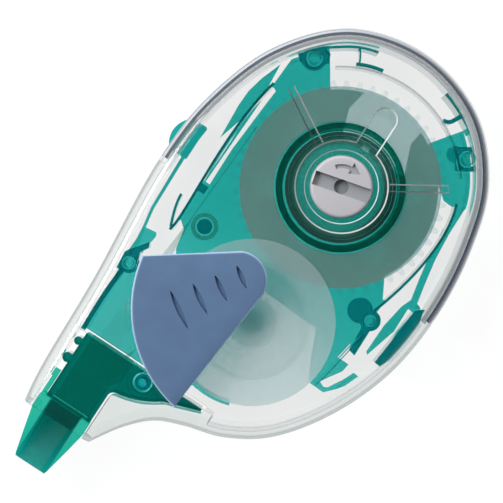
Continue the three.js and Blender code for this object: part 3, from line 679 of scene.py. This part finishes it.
def knob_material():
    """Pale grey plastic with painted shade: darker with depth in the slot, the arrow and the centre pit."""
    n = new_material("knob_plastic")
    depth = n.math("DIVIDE", n.math("SUBTRACT", KNOB_HIGH[2], n.along_axis(2)), 2.0)
    # Painted shade: the colour darkens with depth below the knob's top, standing in for the shade in its
    # recesses.
    shade = n.ramp(depth, [
        (0.0, rgb(204, 202, 207)), (0.05, rgb(204, 202, 207)), (0.12, rgb(172, 174, 178)),
        (0.5, rgb(166, 170, 174)), (0.7, rgb(140, 147, 150))])
    return n.done(moulded(n, shade, 0.36, 0.48, 4.0, 0.12))


def tip_material():
    """The wedge tip: dark at the collar, lighter towards the edge and on the side guards."""
    n = new_material("tip_teal")
    along = n.math("DIVIDE", n.math("SUBTRACT", n.along_axis(0), TIP_X), 9.0)
    offset = n.math("ABSOLUTE", n.math("SUBTRACT", n.along_axis(1), HEAD_Y))
    blade = n.ramp(along, [(0.0, rgb(60, 198, 192)), (0.5, rgb(36, 176, 170)), (1.0, rgb(38, 164, 156))])
    guard = n.ramp(along, [(0.0, rgb(72, 212, 198)), (1.0, rgb(104, 222, 206))])
    color = n.mix_colors(n.math("GREATER_THAN", offset, 2.95), blade, guard)
    skin = n.shader("BsdfPrincipled", Base_Color=color, Roughness=0.4, Specular_IOR_Level=0.06)
    lit = n.mix_shaders(0.35, skin, n.shader("BsdfTranslucent", Color=color))
    return n.done(n.mix_shaders(0.78, lit, n.shader("BsdfTransparent", Color=color)))


TIP_TEAL = tip_material()
BAND = band_material()
# The pad's pale blue rim colour is a painted highlight on its rounded edges.
PAD = solid_plastic("pad_rubber", rgb(92, 122, 160), 0.62, 5.0, 0.35, rim=rgb(175, 200, 232))
KNOB = knob_material()
SPRING = solid_plastic("spring_plastic", rgb(214, 214, 208), 0.4, 4.0, 0.1)
ROLL = roll_material()

# ---------------------------------------------------------------- the case


def rounding(height, depth, steps=8):
    """A quarter ellipse: height above the face against distance in from the outline."""
    angles = np.radians(np.linspace(90, 0, steps + 1))
    return [(height * (1 - math.sin(a)), depth * (1 - math.cos(a))) for a in angles]


def case_loft(profile, is_front, end_z):
    """A solid of the case's outline, from a rounded face to a flat end at end_z."""
    loops = []
    for height, distance in profile:
        z = CASE_Z1 - height if is_front else CASE_Z0 + height
        loops.append(at_height(inset(OUTLINE, distance), z))
    loops.append(at_height(inset(OUTLINE, profile[-1][1]), end_z))
    return loft(loops[::-1] if is_front else loops)


def rim_line(beyond, outer_inset, inner_inset, z):
    """The outline of a strip along the band, running beyond its ends."""
    start = next(i for i, (x, y) in enumerate(OUTLINE) if y < -20 and x > BAND_START_X - beyond)
    end = next(i for i, (x, y) in enumerate(OUTLINE) if y > 20 and x < BAND_END_X - beyond)
    indices = [i % OUTLINE_COUNT for i in range(start, end + OUTLINE_COUNT + 1)]
    outer = inset(OUTLINE, outer_inset)[indices]
    inner = inset(OUTLINE, inner_inset)[indices]
    return at_height(list(outer) + list(inner[::-1]), z)


def rim_strip(beyond, outer_inset, inner_inset, z0, z1):
    return loft([rim_line(beyond, outer_inset, inner_inset, z) for z in (z0, z1)])


def pad_outline(grow):
    return (
        arc(-23.3, -0.4, 21.5 + grow, 99.7, 170.7, 48)
        + arc(-21.7, 5.7, 4.7 + grow, -94, 25.8, 28)
    )


def head_mouth(z0, z1):
    """The cutter for the opening that the head block sits in."""
    return slab(
        [(SLOT_EDGE_X, 22.9), (-80, 22.9), (-80, 12.8)]
        + bend((-49.3, 12.8), (-48.3, 12.8), (-48.2, 11.8))
        + bend((-48.2, 11.8), (-47.6, 8), (-45.3, 5))
        + [(-42.9, -1.6), (SLOT_EDGE_X, -1.6)], z0, z1)


def case_half(is_front):
    """A cup with the band's groove and the head's mouth, solid beside the head."""
    seam_z = MID_Z + GAP / 2 if is_front else MID_Z - GAP / 2
    beyond_z = MID_Z - 1 if is_front else MID_Z + 1
    below = CASE_Z0 - 1
    above = CASE_Z1 + 1
    outer = rounding(*OUTER_ROUNDING)
    inner = [(FACE_WALL + height, SIDE_WALL + depth) for height, depth in rounding(*INNER_ROUNDING)]
    cup = cut(case_loft(outer, is_front, seam_z), case_loft(inner, is_front, beyond_z))
    fin = keep_inside(
        case_loft(outer, is_front, seam_z), block(-70, SLOT_EDGE_X - 0.05, -3, 30, below, above))
    backing = keep_inside(
        rim_strip(1.4, BAND_THICK, BAND_THICK + BAND_BACKING, BAND_LOW[2] - BACKING_LIP,
                  BAND_HIGH[2] + BACKING_LIP),
        case_loft(outer, is_front, seam_z))
    groove = rim_strip(0.6, -1.5, BAND_THICK + GAP, BAND_LOW[2] - GAP, BAND_HIGH[2] + GAP)
    nose = block(-80, NOSE_X, -5, 40, below, above)
    return cut(join(cup, fin, backing), groove, head_mouth(below, above), nose)


def rear_cover():
    studs = [disc(x, y, bore, 0.6, PLATE_Z0 - GAP, 32) for x, y, _, bore in BOSSES]
    window = block(-10.3, -3.2, 22, 32, PLATE_Z0 - GAP, 3.9)
    shell = cut(join(case_half(False), *studs), window)
    finish_piece(shell, "rear_shell", "case", "rear_cover", CLEAR, 0.15)


def radial_rib(degrees, reach):
    """A straight rib under the front face, with a sloped foot on each side."""
    start = 7.6
    foot = loft([
        [(start, -w, z), (reach, -w, z), (reach, w, z), (start, w, z)]
        for w, z in ((0.4, ROOF_Z - 0.3), (0.75, ROOF_Z + 0.1), (0.75, ROOF_Z + 0.2))])
    return turned(join(foot, block(start, reach, -0.45, 0.45, ROOF_Z - 1.0, ROOF_Z + 0.2)), degrees)


def keyhole():
    """The cutter for the shallow step round the knob; its wall slopes a little."""
    loops = []
    for grow, z in ((-0.1, CASE_Z1 - STEP_DEPTH), (0.12, CASE_Z1), (0.12, CASE_Z1 + 1)):
        half = KEYHOLE_HALF + grow
        radius = KEYHOLE_R + grow
        mouth = math.degrees(math.asin(half / radius))
        outline = arc(0, 0, radius, mouth, 360 - mouth, 72) + arc(KEYHOLE_END_X, 0, half, -90, 90, 20)
        loops.append(at_height(outline, z))
    return loft(loops)


def knob_hole():
    """The cutter for the round opening, with a small slope at its mouth."""
    z = CASE_Z1 - STEP_DEPTH
    mouth_r = KNOB_HOLE_R + 0.15
    return turned_solid([(KNOB_HOLE_R, 8), (KNOB_HOLE_R, z - 0.2), (mouth_r, z), (mouth_r, 16)], 96)


def front_cover():
    """The front half with its pins, ribs, curved walls, hook and pad seat."""
    under = BOSS_TOP + 0.4
    root = ROOF_Z + 0.3
    pins = [disc(x, y, bore - GAP, 4.6, ROOF_Z + 0.4, 32) for x, y, _, bore in BOSSES]
    ring_wall = keep_inside(
        tube(0, 0, 19.6, 19.2, under, root, 160),
        slab([(0, 0), (24, -31.8), (40, 0), (32, 23.2)], CASE_Z0, CASE_Z1))
    reel_wall = curved_wall(
        [(-18.0, -16.2), (-20.8, -15.6), (-25.5, -14.8), (-29.0, -14.0)], 0.4, under, root)
    hook = join(block(-57, -55.4, 22.0, 23.6, 11.9, 13.2), disc(-56.2, 22.1, 0.8, 11.9, 13.2, 32))
    pad_seat = slab(pad_outline(0.95), 12.1, CASE_Z1)
    shell = join(case_half(True), *pins, pad_seat, hook, ring_wall, reel_wall,
                 radial_rib(60, 18), radial_rib(-58, 17.4))
    cut(shell, slab(pad_outline(GAP), 13.1, CASE_Z1 + 1), knob_hole(), keyhole())
    finish_piece(shell, "front_shell", "case", "front_cover", CLEAR, 0.15)


def edge_band():
    """A strip with a rounded outer flank and a fine raised line along its middle."""
    low, high = BAND_LOW[2], BAND_HIGH[2]
    flank = [(0.5, 0.0), (0.3, 0.25), (0.15, 0.6), (0.0, 1.3)]
    levels = [(d, low + h) for d, h in flank] + [(d, high - h) for d, h in reversed(flank)]
    strip = loft([rim_line(0, d, BAND_THICK, z) for d, z in levels])
    band = join(strip, rim_strip(-0.4, -0.12, 0.5, MID_Z - 0.5, MID_Z + 0.5))
    finish_piece(band, "rim_band", "case", "edge_band", BAND, 0.15)


# ---------------------------------------------------------------- grip pad


def grip_slit(x0, y0, x1, y1):
    """The cutter for a slit with pointed ends."""
    across = np.array([y0 - y1, x1 - x0], float)
    across *= 0.95 / np.linalg.norm(across)
    middle = np.array([x0 + x1, y0 + y1]) / 2
    outline = bend((x0, y0), middle - across, (x1, y1)) + bend((x1, y1), middle + across, (x0, y0))[1:-1]
    return slab(outline, PAD_HIGH[2] - 0.5, PAD_HIGH[2] + 1)


def grip_pad():
    """A low pad with a soft rounded rim and four slits for the thumb."""
    bottom, top, rim = PAD_LOW[2], PAD_HIGH[2], 0.5
    loops = [at_height(pad_outline(0), bottom), at_height(pad_outline(0), top - rim)]
    for angle in (25, 50, 75, 90):
        a = math.radians(angle)
        loops.append(at_height(pad_outline(-rim * (1 - math.cos(a))), top - rim + rim * math.sin(a)))
    pad = loft(loops)
    slits = [
        (-32.8, 8, -29.1, 14), (-29.1, 6.7, -26.2, 11.5),
        (-25.6, 5.1, -23.1, 9.3), (-22.2, 3.6, -19.9, 7.2)]
    cut(pad, *[grip_slit(*slit) for slit in slits])
    finish_piece(pad, "thumb_pad", "case", "grip_pad", PAD, 0.1)


# ---------------------------------------------------------------- inner frame


def case_room(margin):
    """The room inside the closed case, less a margin to its walls."""
    room = loft([
        at_height(inset(OUTLINE, d), z) for d, z in
        ((3.3, FACE_WALL + GAP), (2.7, 1.9), (margin, 2.8), (margin, CASE_Z1 - 2.8), (2.7, CASE_Z1 - 1.9))])
    return cut(room, block(-80, SLOT_EDGE_X, -40, 40, -1, 20))


def rim_tab():
    """A springy arm that ends in a rounded tab standing out of the top edge."""
    arm = slab(
        [(-26.5, 22.4), (-23.1, 23.2), (-19.6, 23.8), (-9.6, 24.1), (-3.8, 23.6), (-3.8, 24.2),
         (-9.6, 24.7), (-19.6, 24.3), (-23.1, 23.7), (-27.0, 23.3)], 1.7, 3.4)
    dome = slab(
        [(-3.6, 23.8)] + bend((-3.6, 26.6), (-5.2, 28.3), (-7.2, 28.3))
        + bend((-7.2, 28.3), (-9.2, 28.1), (-9.9, 26.9))[1:] + [(-9.9, 23.8)], 1.6, 3.5)
    return join(arm, dome)


# The lobes of the base plate, which together with two discs make up its shape.
PLATE_LOBES = {
    "upper": [(-24.8, 16.0), (-23.2, 17.1), (-19.8, 17.8), (-18.5, 19.3), (2.4, 19.3), (7.8, 18.6),
              (14.3, 18.3), (18.2, 15.2), (18.4, 13.9), (13.5, 10.6), (6, 6), (-4, -12), (-12.2, -16.6),
              (-18.0, -16.2), (-20.8, -15.6), (-25.5, -14.8), (-29.6, -13.4), (-27, -12.0),
              (-21.5, -9.5), (-21, 2), (-19, 8)],
    "wedge": [(-3.8, 21.1), (2.5, 21.5), (5.3, 21.4), (8.3, 20.7), (11.9, 19.4), (7.2, 19.0),
              (1.8, 19.5)],
    "under_pad": [(-23.6, 16.0), (-18.5, 8), (-20, 1.4), (-28.8, 0.6), (-29.2, 1.7), (-40.2, 2.6),
                  (-41.4, 8), (-42.5, 11), (-42.5, 23.2), (-31, 23.4), (-29.7, 20.4), (-27.6, 18.6)],
    "corner": [(-23.0, 23.4), (-22.7, 21.3), (-23.3, 21.0), (-28, 21.5), (-28, 23.6)],
    "right": [(14.5, -8.4), (21.5, -13.6), (14.5, -19.2), (8.5, -19.4), (7.7, -17.5), (7.8, -15.6),
              (10.0, -12.9), (8, -8)],
    "belly": [(8.6, -18.2), (8.6, -19.3), (3.5, -19.4), (-1, -19.8), (-5, -20.5), (-8.9, -21.3),
              (-9.3, -22.8), (-10.6, -22.8), (-10.4, -20.5), (-14.8, -20.6), (-20.5, -19.0),
              (-20.1, -18.6), (-14.9, -18.7), (-10.7, -19.4), (-8.9, -20.1), (-5, -19.3),
              (-1, -18.6), (3.8, -18.1)],
    "lower_left": [(-23.5, -14.9), (-23.5, -17.3), (-25, -17.1), (-27.3, -15.6), (-28.5, -14.9),
                   (-28.9, -15.9), (-28.6, -16.5), (-26.2, -17.9), (-24.2, -18.8), (-24.3, -19.9),
                   (-26.1, -19.3), (-28, -17.9), (-29.7, -16.3), (-29.6, -13.6), (-26, -14)],
}


def base_plate():
    """The floor of the inner frame, cut into lobes round the reels and the tape path."""
    plate = join(
        disc(0, 0, 16.4, PLATE_Z0, PLATE_Z1, 160), disc(REEL_X, 0, 2.7, PLATE_Z0, PLATE_Z1),
        *[slab(lobe, PLATE_Z0, PLATE_Z1) for lobe in PLATE_LOBES.values()])
    crescent = keep_inside(
        tube(REEL_X, 0, 14.5, 13.5, PLATE_Z0, PLATE_Z1, 128),
        slab([(REEL_X, 0), (-46, -6.4), (-46, 4)], 0, 4))
    opening = slab([(7.6, 4.4), (12, 5.9), (17.5, 4.9), (17.5, -6.6), (12.7, -5.9), (7.4, -8.0)], 0, 4)
    tape_slot = slab(
        [(-11.2, 18.3), (-4.4, 18.4), (5.2, 17.8), (7.7, 17.6), (8.1, 18.3), (6.4, 18.7),
         (-11.2, 19.1)], 0, 4)
    return cut(join(plate, crescent), opening, tape_slot)


# Walls on the base plate: a line through a few points, the thickness and the top.
FRAME_WALLS = [
    ([(-21.0, 19.5), (-15, 19.3), (-6, 19.6), (2.4, 19.3), (8.2, 18.4)], 0.45, WALL_TOP),
    ([(-15.1, 21.2), (-17.5, 20.8), (-20.6, 19.7)], 0.45, 7),
    ([(-42.3, 22.4), (-36, 22.6), (-30.5, 22.3)], 0.8, WALL_TOP),
    ([(8.2, -17.4), (-0.5, -18.45), (-9.0, -17.1), (-14, -15.6)], 0.45, BOSS_TOP),
    ([(17.2, 15.4), (19.4, 12.4), (20.9, 9.9), (21.9, 6.9)], 0.45, BOSS_TOP),
    ([(20.9, 9.9), (20.0, 9.2), (18.7, 8.5)], 0.3, BOSS_TOP),
    ([(18.3, 8.9), (19.2, 6.9), (19.8, 4.6)], 0.6, BOSS_TOP),
    ([(19.0, -13.0), (20.4, -10.6), (21.5, -8.2), (22.2, -6.0)], 0.8, WALL_TOP),
    ([(18.4, -8.0), (18.9, -9.2), (19.8, -9.7), (20.7, -10.4)], 0.7, BOSS_TOP),
]

# Blocks on the base plate: an outline and the top.
FRAME_BLOCKS = [
    ([(14.5, 17.8), (17.9, 14.8), (17.4, 13.3), (15.9, 12.7), (13.2, 15.1), (13.6, 16.9)], BOSS_TOP),
    ([(15.7, -11.9), (18.1, -15.4), (14.7, -17.7), (12.5, -14.2)], BOSS_TOP),
    (circle(15.0, -12.8, 1.4, 64), 6),
    (circle(-15.0, -13.7, 2.1, 64), BOSS_TOP),
    ([(-16.0, -16.9), (-15.5, -15.3), (-21.4, -15.8), (-21.7, -17.0)], BOSS_TOP),
    ([(-24.5, 21.1), (-25.4, 20.7), (-26.7, 21.5), (-29.7, 20.4), (-30.6, 21.3), (-31.0, 23.3),
      (-30.2, 23.9), (-28.1, 23.8)], 9),
    ([(-13.2, 18.0), (-11.8, 18.0), (-11.8, 19.4), (-13.2, 19.4)], BOSS_TOP),
]


def belly_lens():
    """The lens-shaped block at the belly, which stands close to the case wall."""
    outline = [
        (-9.2, -22.3), (-11.8, -23.1), (-15.5, -22.9), (-18.9, -22.3), (-20.9, -21.4),
        (-20.8, -20.3), (-16.4, -20.7), (-13.1, -20.9), (-10.1, -21.2)]
    return keep_inside(slab(outline, PLATE_Z0, 9), case_room(SIDE_WALL + GAP))


def inner_frame():
    """The plate with its walls, blocks, bosses, posts and springy tab."""
    walls = [curved_wall(line, thickness, PLATE_Z0, top) for line, thickness, top in FRAME_WALLS]
    blocks = [slab(outline, PLATE_Z0, top) for outline, top in FRAME_BLOCKS]
    bosses = [disc(x, y, radius, PLATE_Z0, BOSS_TOP) for x, y, radius, _ in BOSSES]
    body = keep_inside(join(base_plate(), *walls, *blocks, *bosses), case_room(FRAME_MARGIN))
    posts = [
        disc(0, 0, 3.1, PLATE_Z0, 4.6), disc(0, 0, AXLE_R, PLATE_Z0, 9.7),
        disc(REEL_X, 0, AXLE_R, PLATE_Z0, 9.0),
        disc(GUIDE_X, GUIDE_Y, GUIDE_POST_R, PLATE_Z0, 9.9)]
    bores = [disc(x, y, bore, 3.2, 12, 48) for x, y, _, bore in BOSSES]
    cut(join(body, belly_lens(), *posts, rim_tab()), *bores)
    finish_piece(body, "reel_frame", "case", "inner_frame", TEAL, 0.08)


# ---------------------------------------------------------------- reels


def supply_core():
    z0, z1 = CORE_LOW[2], CORE_HIGH[2]
    core = join(tube(0, 0, CORE_R, 9.6, z0, z1, 160), tube(0, 0, CORE_R, 9.4, z0, z0 + 0.5, 160))
    finish_piece(core, "tape_core", "supply", "supply_core", GREEN)


def supply_hub():
    """A ring and a floor round a sleeve with two driving lugs."""
    hub = join(
        tube(0, 0, 9.1, 8.5, 8.1, 9.5, 128), tube(0, 0, 9.1, 3.0, 8.1, 8.9, 128),
        tube(0, 0, 4.0, AXLE_R + GAP, HUB_LOW[2], 10.0, 96),
        block(2.8, 3.7, -0.8, 0.8, 9.6, 11.2), block(-3.7, -2.8, -0.8, 0.8, 9.6, 11.2))
    finish_piece(hub, "reel_hub", "supply", "supply_hub", HUB_TEAL)


def tape_roll():
    roll = tube(0, 0, ROLL_R, CORE_R + 0.25, ROLL_LOW[2], ROLL_HIGH[2], 200)
    finish_piece(roll, "tape_winding", "supply", "tape_roll", ROLL, 0.06)


def rewind_knob():
    """A knob with a rounded rim, a slot, a centre pit, an arrow and a groove underneath."""
    z0, z1, rim = KNOB_LOW[2], KNOB_HIGH[2], 0.6
    crown = [
        (KNOB_R - rim + rim * math.cos(a), z1 - rim + rim * math.sin(a))
        for a in np.radians(np.linspace(0, 90, 7))]
    knob = turned_solid([(4.7, z0), (4.9, z0 + 0.3), *crown], 128)
    slot = turned(block(-1.15, 1.15, -4.7, 4.7, z1 - 0.9, z1 + 1), 14)
    pit = disc(0, 0, 1.2, z1 - 1.6, 16, 48)
    groove = block(-4, 4, -1.1, 1.1, z0 - 1, 11.5)
    arrow = join(
        slab(arc(0, 0, 3.65, 5, 50) + arc(0, 0, 3.0, 50, 5), z1 - 0.35, z1 + 1),
        slab([(3.3, -1.5), (4.35, 0.32), (2.35, 0.3)], z1 - 0.35, z1 + 1))
    cut(knob, slot, pit, groove, arrow)
    finish_piece(knob, "winding_knob", "supply", "rewind_knob", KNOB, 0.1)


def takeup_reel():
    """A drum with a wide flange on top and a hub that runs on the axle."""
    bottom, top = REEL_LOW[2], REEL_HIGH[2]
    reel = join(
        tube(REEL_X, 0, DRUM_R, 7.8, bottom, 9.8, 128), disc(REEL_X, 0, REEL_R, 9.5, top, 200),
        disc(REEL_X, 0, 3.6, bottom, top, 96), disc(REEL_X, 0, 8.3, 7.6, 9.6, 128))
    rooms = [block(REEL_X + x - 1, REEL_X + x + 1, -1.3, 1.3, 4, 8.5) for x in (5.7, -5.7)]
    bore = disc(REEL_X, 0, AXLE_R + GAP, 0, 9.3)
    recess = disc(REEL_X, 0, 4.6, top - 0.25, 11, 96)
    cut(reel, bore, recess, *rooms)
    finish_piece(reel, "spent_reel", "takeup", "takeup_reel", FROSTED)


def takeup_wind():
    wind = tube(REEL_X, 0, WIND_R, WIND_R - 0.45, WIND_LOW[2], WIND_HIGH[2], 160)
    finish_piece(wind, "spent_winding", "takeup", "takeup_wind", FILM_CLEAR, 0.05)


# ---------------------------------------------------------------- head and tip


def head_holder():
    """A flanged block with a tunnel for the tape and two lugs on its top edge."""
    right = HOLDER_HIGH[0] + 0.2
    body = slab(
        [(right, 21.5), (-54.4, 21.5), (-54.4, 13.1)]
        + bend((-48.9, 13.1), (-48.0, 12.9), (-47.9, 11.8))
        + bend((-47.9, 11.8), (-47.3, 8.1), (-45.0, 5.1))[1:]
        + [(-42.9, -0.9), (right, -0.9)], HOLDER_LOW[2], HOLDER_HIGH[2])
    lugs = [
        disc(-47.5, 22, 0.85, 4, 10, 32), block(-48.1, -46.9, 21, 22, 4, 10),
        disc(-44.3, 22, 0.7, 4, 10, 32), block(-44.8, -43.8, 21, 22, 4, 10)]
    tunnel = slab(
        [(-60, 13.9), (-48.3, 13.9), (-46.6, 12.6), (-40, 12.6), (-40, 20.6), (-60, 20.6)], 3.5, 10.5)
    pin_seats = [disc(PIN_X, PIN_Y, 2.9, 10.7, 12), disc(PIN_X, PIN_Y, 2.9, 1, 3.3)]
    pin_bore = disc(PIN_X, PIN_Y, PIN_R + GAP, 0, 13)
    cut(join(body, *lugs), tunnel, *pin_seats, pin_bore)
    finish_piece(body, "head_block", "case", "head_holder", HEAD_GREEN)


def cross_section(x, half, y0, y1):
    """An upright rectangle across the tip at x, half its height above and below the middle."""
    return [(x, y0, MID_Z - half), (x, y1, MID_Z - half), (x, y1, MID_Z + half), (x, y0, MID_Z + half)]


def tip_guard(y0, y1, tip_y0, tip_y1):
    """A side guard that leans in and thins out towards the tip."""
    share = 0.6
    middle_y0 = tip_y0 + (y0 - tip_y0) * share
    middle_y1 = tip_y1 + (y1 - tip_y1) * share
    return loft([
        cross_section(TIP_X + 0.4, 0.9, tip_y0, tip_y1), cross_section(-60.5, 2.4, middle_y0, middle_y1),
        cross_section(-56.9, 3.9, y0, y1)])


def tip():
    """A collar that carries the wedge, its two guards and an arm with a catch."""
    z0, z1 = TIP_LOW[2], TIP_HIGH[2]
    collar = cut(
        block(-57.1, -54.7, 13.1, 22.5, z0, z1), block(-58.1, -53.7, 14.9, 20.4, z0 + 1.1, z1 - 1.1))
    blade = loft([
        cross_section(TIP_X, 0.16, 14.8, 20.5), cross_section(TIP_X + 0.25, 0.3, 14.8, 20.5),
        cross_section(-56.5, 0.8, 14.5, 20.8)])
    arm = join(block(-55, -50.2, 21.8, 22.5, 5.2, 8.8), block(-51.4, -50.2, 21.8, 22.75, 5.2, 8.8))
    join(collar, blade, tip_guard(20.2, 22.5, 20.0, 20.6), tip_guard(13.0, 15.0, 14.7, 15.3), arm)
    finish_piece(collar, "wedge_tip", "case", "tip", TIP_TEAL, 0.08)


# ---------------------------------------------------------------- tape


def ribbon(stations):
    """A thin strip along (x, y, z, turn): turn 0 stands it upright, 90 lays it flat."""
    loops = []
    for x, y, z, turn in stations:
        a = math.radians(turn)
        wide = np.array([0, math.sin(a), math.cos(a)]) * TAPE_WIDTH / 2
        thin = np.array([0, math.cos(a), -math.sin(a)]) * FILM / 2
        centre = np.array([x, y, z])
        corners = ((-1, -1), (1, -1), (1, 1), (-1, 1))
        loops.append([tuple(centre + u * wide + v * thin) for u, v in corners])
    return loft(loops)


def path(stops, steps):
    """Stations along a path through its stops, with a number of steps for each stretch."""
    stations = [stops[0]]
    for start, end, count in zip(stops, stops[1:], steps):
        for t in np.linspace(0, 1, count + 1)[1:]:
            stations.append(tuple(np.array(start) * (1 - t) + np.array(end) * t))
    return stations


def tape_runs():
    """Fresh tape over the guide roller to the tip, and spent film back to the reel."""
    off_roll = (0.7, ROLL_R + 0.4, MID_Z, 0)
    over_guide = (GUIDE_X, GUIDE_Y + GUIDE_R + 0.35, MID_Z, 0)
    head_top = (-55.5, HEAD_Y, MID_Z + 1.25, 90)
    tip_top = (TIP_X - 0.1, HEAD_Y, MID_Z + 0.65, 90)
    out = ribbon(path([off_roll, over_guide, head_top, tip_top], [6, 60, 4]))
    finish_piece(out, "fresh_run", "case", "tape_run_out", FILM_CLEAR, 0)
    on_reel = (-24.2, 9.75, MID_Z, 180)
    upright = (-40.5, 13.45, MID_Z, 180)
    head_under = (-56, HEAD_Y, MID_Z - 1.25, 90)
    tip_under = (TIP_X - 0.1, HEAD_Y, MID_Z - 0.65, 90)
    back = ribbon(path([on_reel, upright, head_under, tip_under], [6, 50, 4]))
    finish_piece(back, "spent_run", "case", "tape_run_back", FILM_CLEAR, 0)


# ---------------------------------------------------------------- kept CAD nodes


def keep_node(node, material):
    """Shows a CAD node as it is, with soft edges and its own finish."""
    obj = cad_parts[node]
    set_material(obj, material)
    flat = obj.modifiers.new("merge_flats", "DECIMATE")
    flat.decimate_type = "DISSOLVE"
    flat.angle_limit = math.radians(1)
    soften(obj, 0.08)


# ---------------------------------------------------------------- stage, in metres

FLOOR_HALF = 1.5
FLOOR_Z = -0.0001
FLOOR_GLOW = 0.97
WORLD_STRENGTH = 1.25
LIGHT_TARGET = (-0.018, 0.0, 0.0)


def floor():
    """Glowing white paper, which can be looked through from below."""
    mesh = bpy.data.meshes.new("floor")
    signs = ((-1, -1), (1, -1), (1, 1), (-1, 1))
    corners = [(x * FLOOR_HALF, y * FLOOR_HALF, FLOOR_Z) for x, y in signs]
    mesh.from_pydata(corners, [], [(0, 1, 2, 3)])
    obj = bpy.data.objects.new("floor", mesh)
    bpy.context.scene.collection.objects.link(obj)
    n = new_material("paper_floor")
    shade = n.ramp(n.noise(0.05), [(0.3, grey(0.97)), (0.7, WHITE)])
    both = n.add("AddShader")
    n.put(n.shader("Emission", Color=shade, Strength=FLOOR_GLOW), both.inputs[0])
    n.put(n.shader("BsdfDiffuse", Color=grey(0.08)), both.inputs[1])
    below = n.geometry("Backfacing")
    set_material(obj, n.done(n.mix_shaders(below, both.outputs[0], n.shader("BsdfTransparent"))))


def area_light(name, place, size, power):
    light = bpy.data.lights.new(name, "AREA")
    light.energy = power
    light.shape = "DISK"
    light.size = size
    obj = bpy.data.objects.new(name, light)
    bpy.context.scene.collection.objects.link(obj)
    obj.location = place
    aim = Vector(LIGHT_TARGET) - Vector(place)
    obj.rotation_euler = aim.to_track_quat("-Z", "Y").to_euler()


def studio_world():
    """A white tent, darker straight overhead and on the belly side, where nothing reflects."""
    world = bpy.data.worlds.new("studio")
    bpy.context.scene.world = world
    n = Nodes(world, "OutputWorld")
    direction = n.add("TexCoord").outputs["Generated"]
    height = n.ramp(n.part_of(direction, 2), [
        (0.0, grey(0.9)), (0.45, WHITE), (0.80, grey(0.75)), (0.90, grey(0.12)), (1.0, grey(0.03))])
    side = n.between(n.towards(direction, (0.6, 0.8, 0.0)), 0.05, 1.0, -0.6, 0.7)
    strength = n.math("MULTIPLY", side, WORLD_STRENGTH)
    n.done(n.shader("Background", Color=height, Strength=strength))


# ---------------------------------------------------------------- camera, in millimetres

CAMERA_DISTANCE = 420.0
VIEW_CENTRE = (-16.7, 6.4)
VIEW_WIDTH = 82.46
VIEW_UP = (0.836, 0.549)
SENSOR_WIDTH = 36.0


def camera():
    """Looks straight down with a long lens, turned so that the tip points to lower left."""
    data = bpy.data.cameras.new("camera")
    data.sensor_width = SENSOR_WIDTH
    data.lens = SENSOR_WIDTH * CAMERA_DISTANCE / VIEW_WIDTH
    data.clip_start = 0.01
    obj = bpy.data.objects.new("camera", data)
    bpy.context.scene.collection.objects.link(obj)
    up = Vector((*VIEW_UP, 0)).normalized()
    back = Vector((0, 0, 1))
    right = up.cross(back)
    rotation = Matrix((right, up, back)).transposed()
    centre = Vector((*VIEW_CENTRE, MID_Z))
    obj.matrix_world = Matrix.Translation((centre + back * CAMERA_DISTANCE) * MM) @ rotation.to_4x4()
    bpy.context.scene.camera = obj


def render_settings():
    scene = bpy.context.scene
    scene.cycles.transparent_max_bounces = 64
    scene.cycles.max_bounces = 12
    scene.view_settings.view_transform = "Standard"


# ---------------------------------------------------------------- build

rear_cover()
front_cover()
edge_band()
grip_pad()
inner_frame()
supply_core()
supply_hub()
tape_roll()
rewind_knob()
takeup_reel()
takeup_wind()
head_holder()
tip()
tape_runs()
for kept, finish in (
    ("drive_gear", GEAR_CLEAR), ("takeup_gear", GEAR_CLEAR), ("guide_roller", PALE_TEAL),
    ("clutch_spring", SPRING), ("head_pin", TEAL),
):
    keep_node(kept, finish)
floor()
area_light("key", (-0.05, 0.55, 0.45), 0.30, 3.0)
area_light("fill", (0.40, -0.20, 0.50), 0.40, 0.6)
studio_world()
camera()
render_settings()
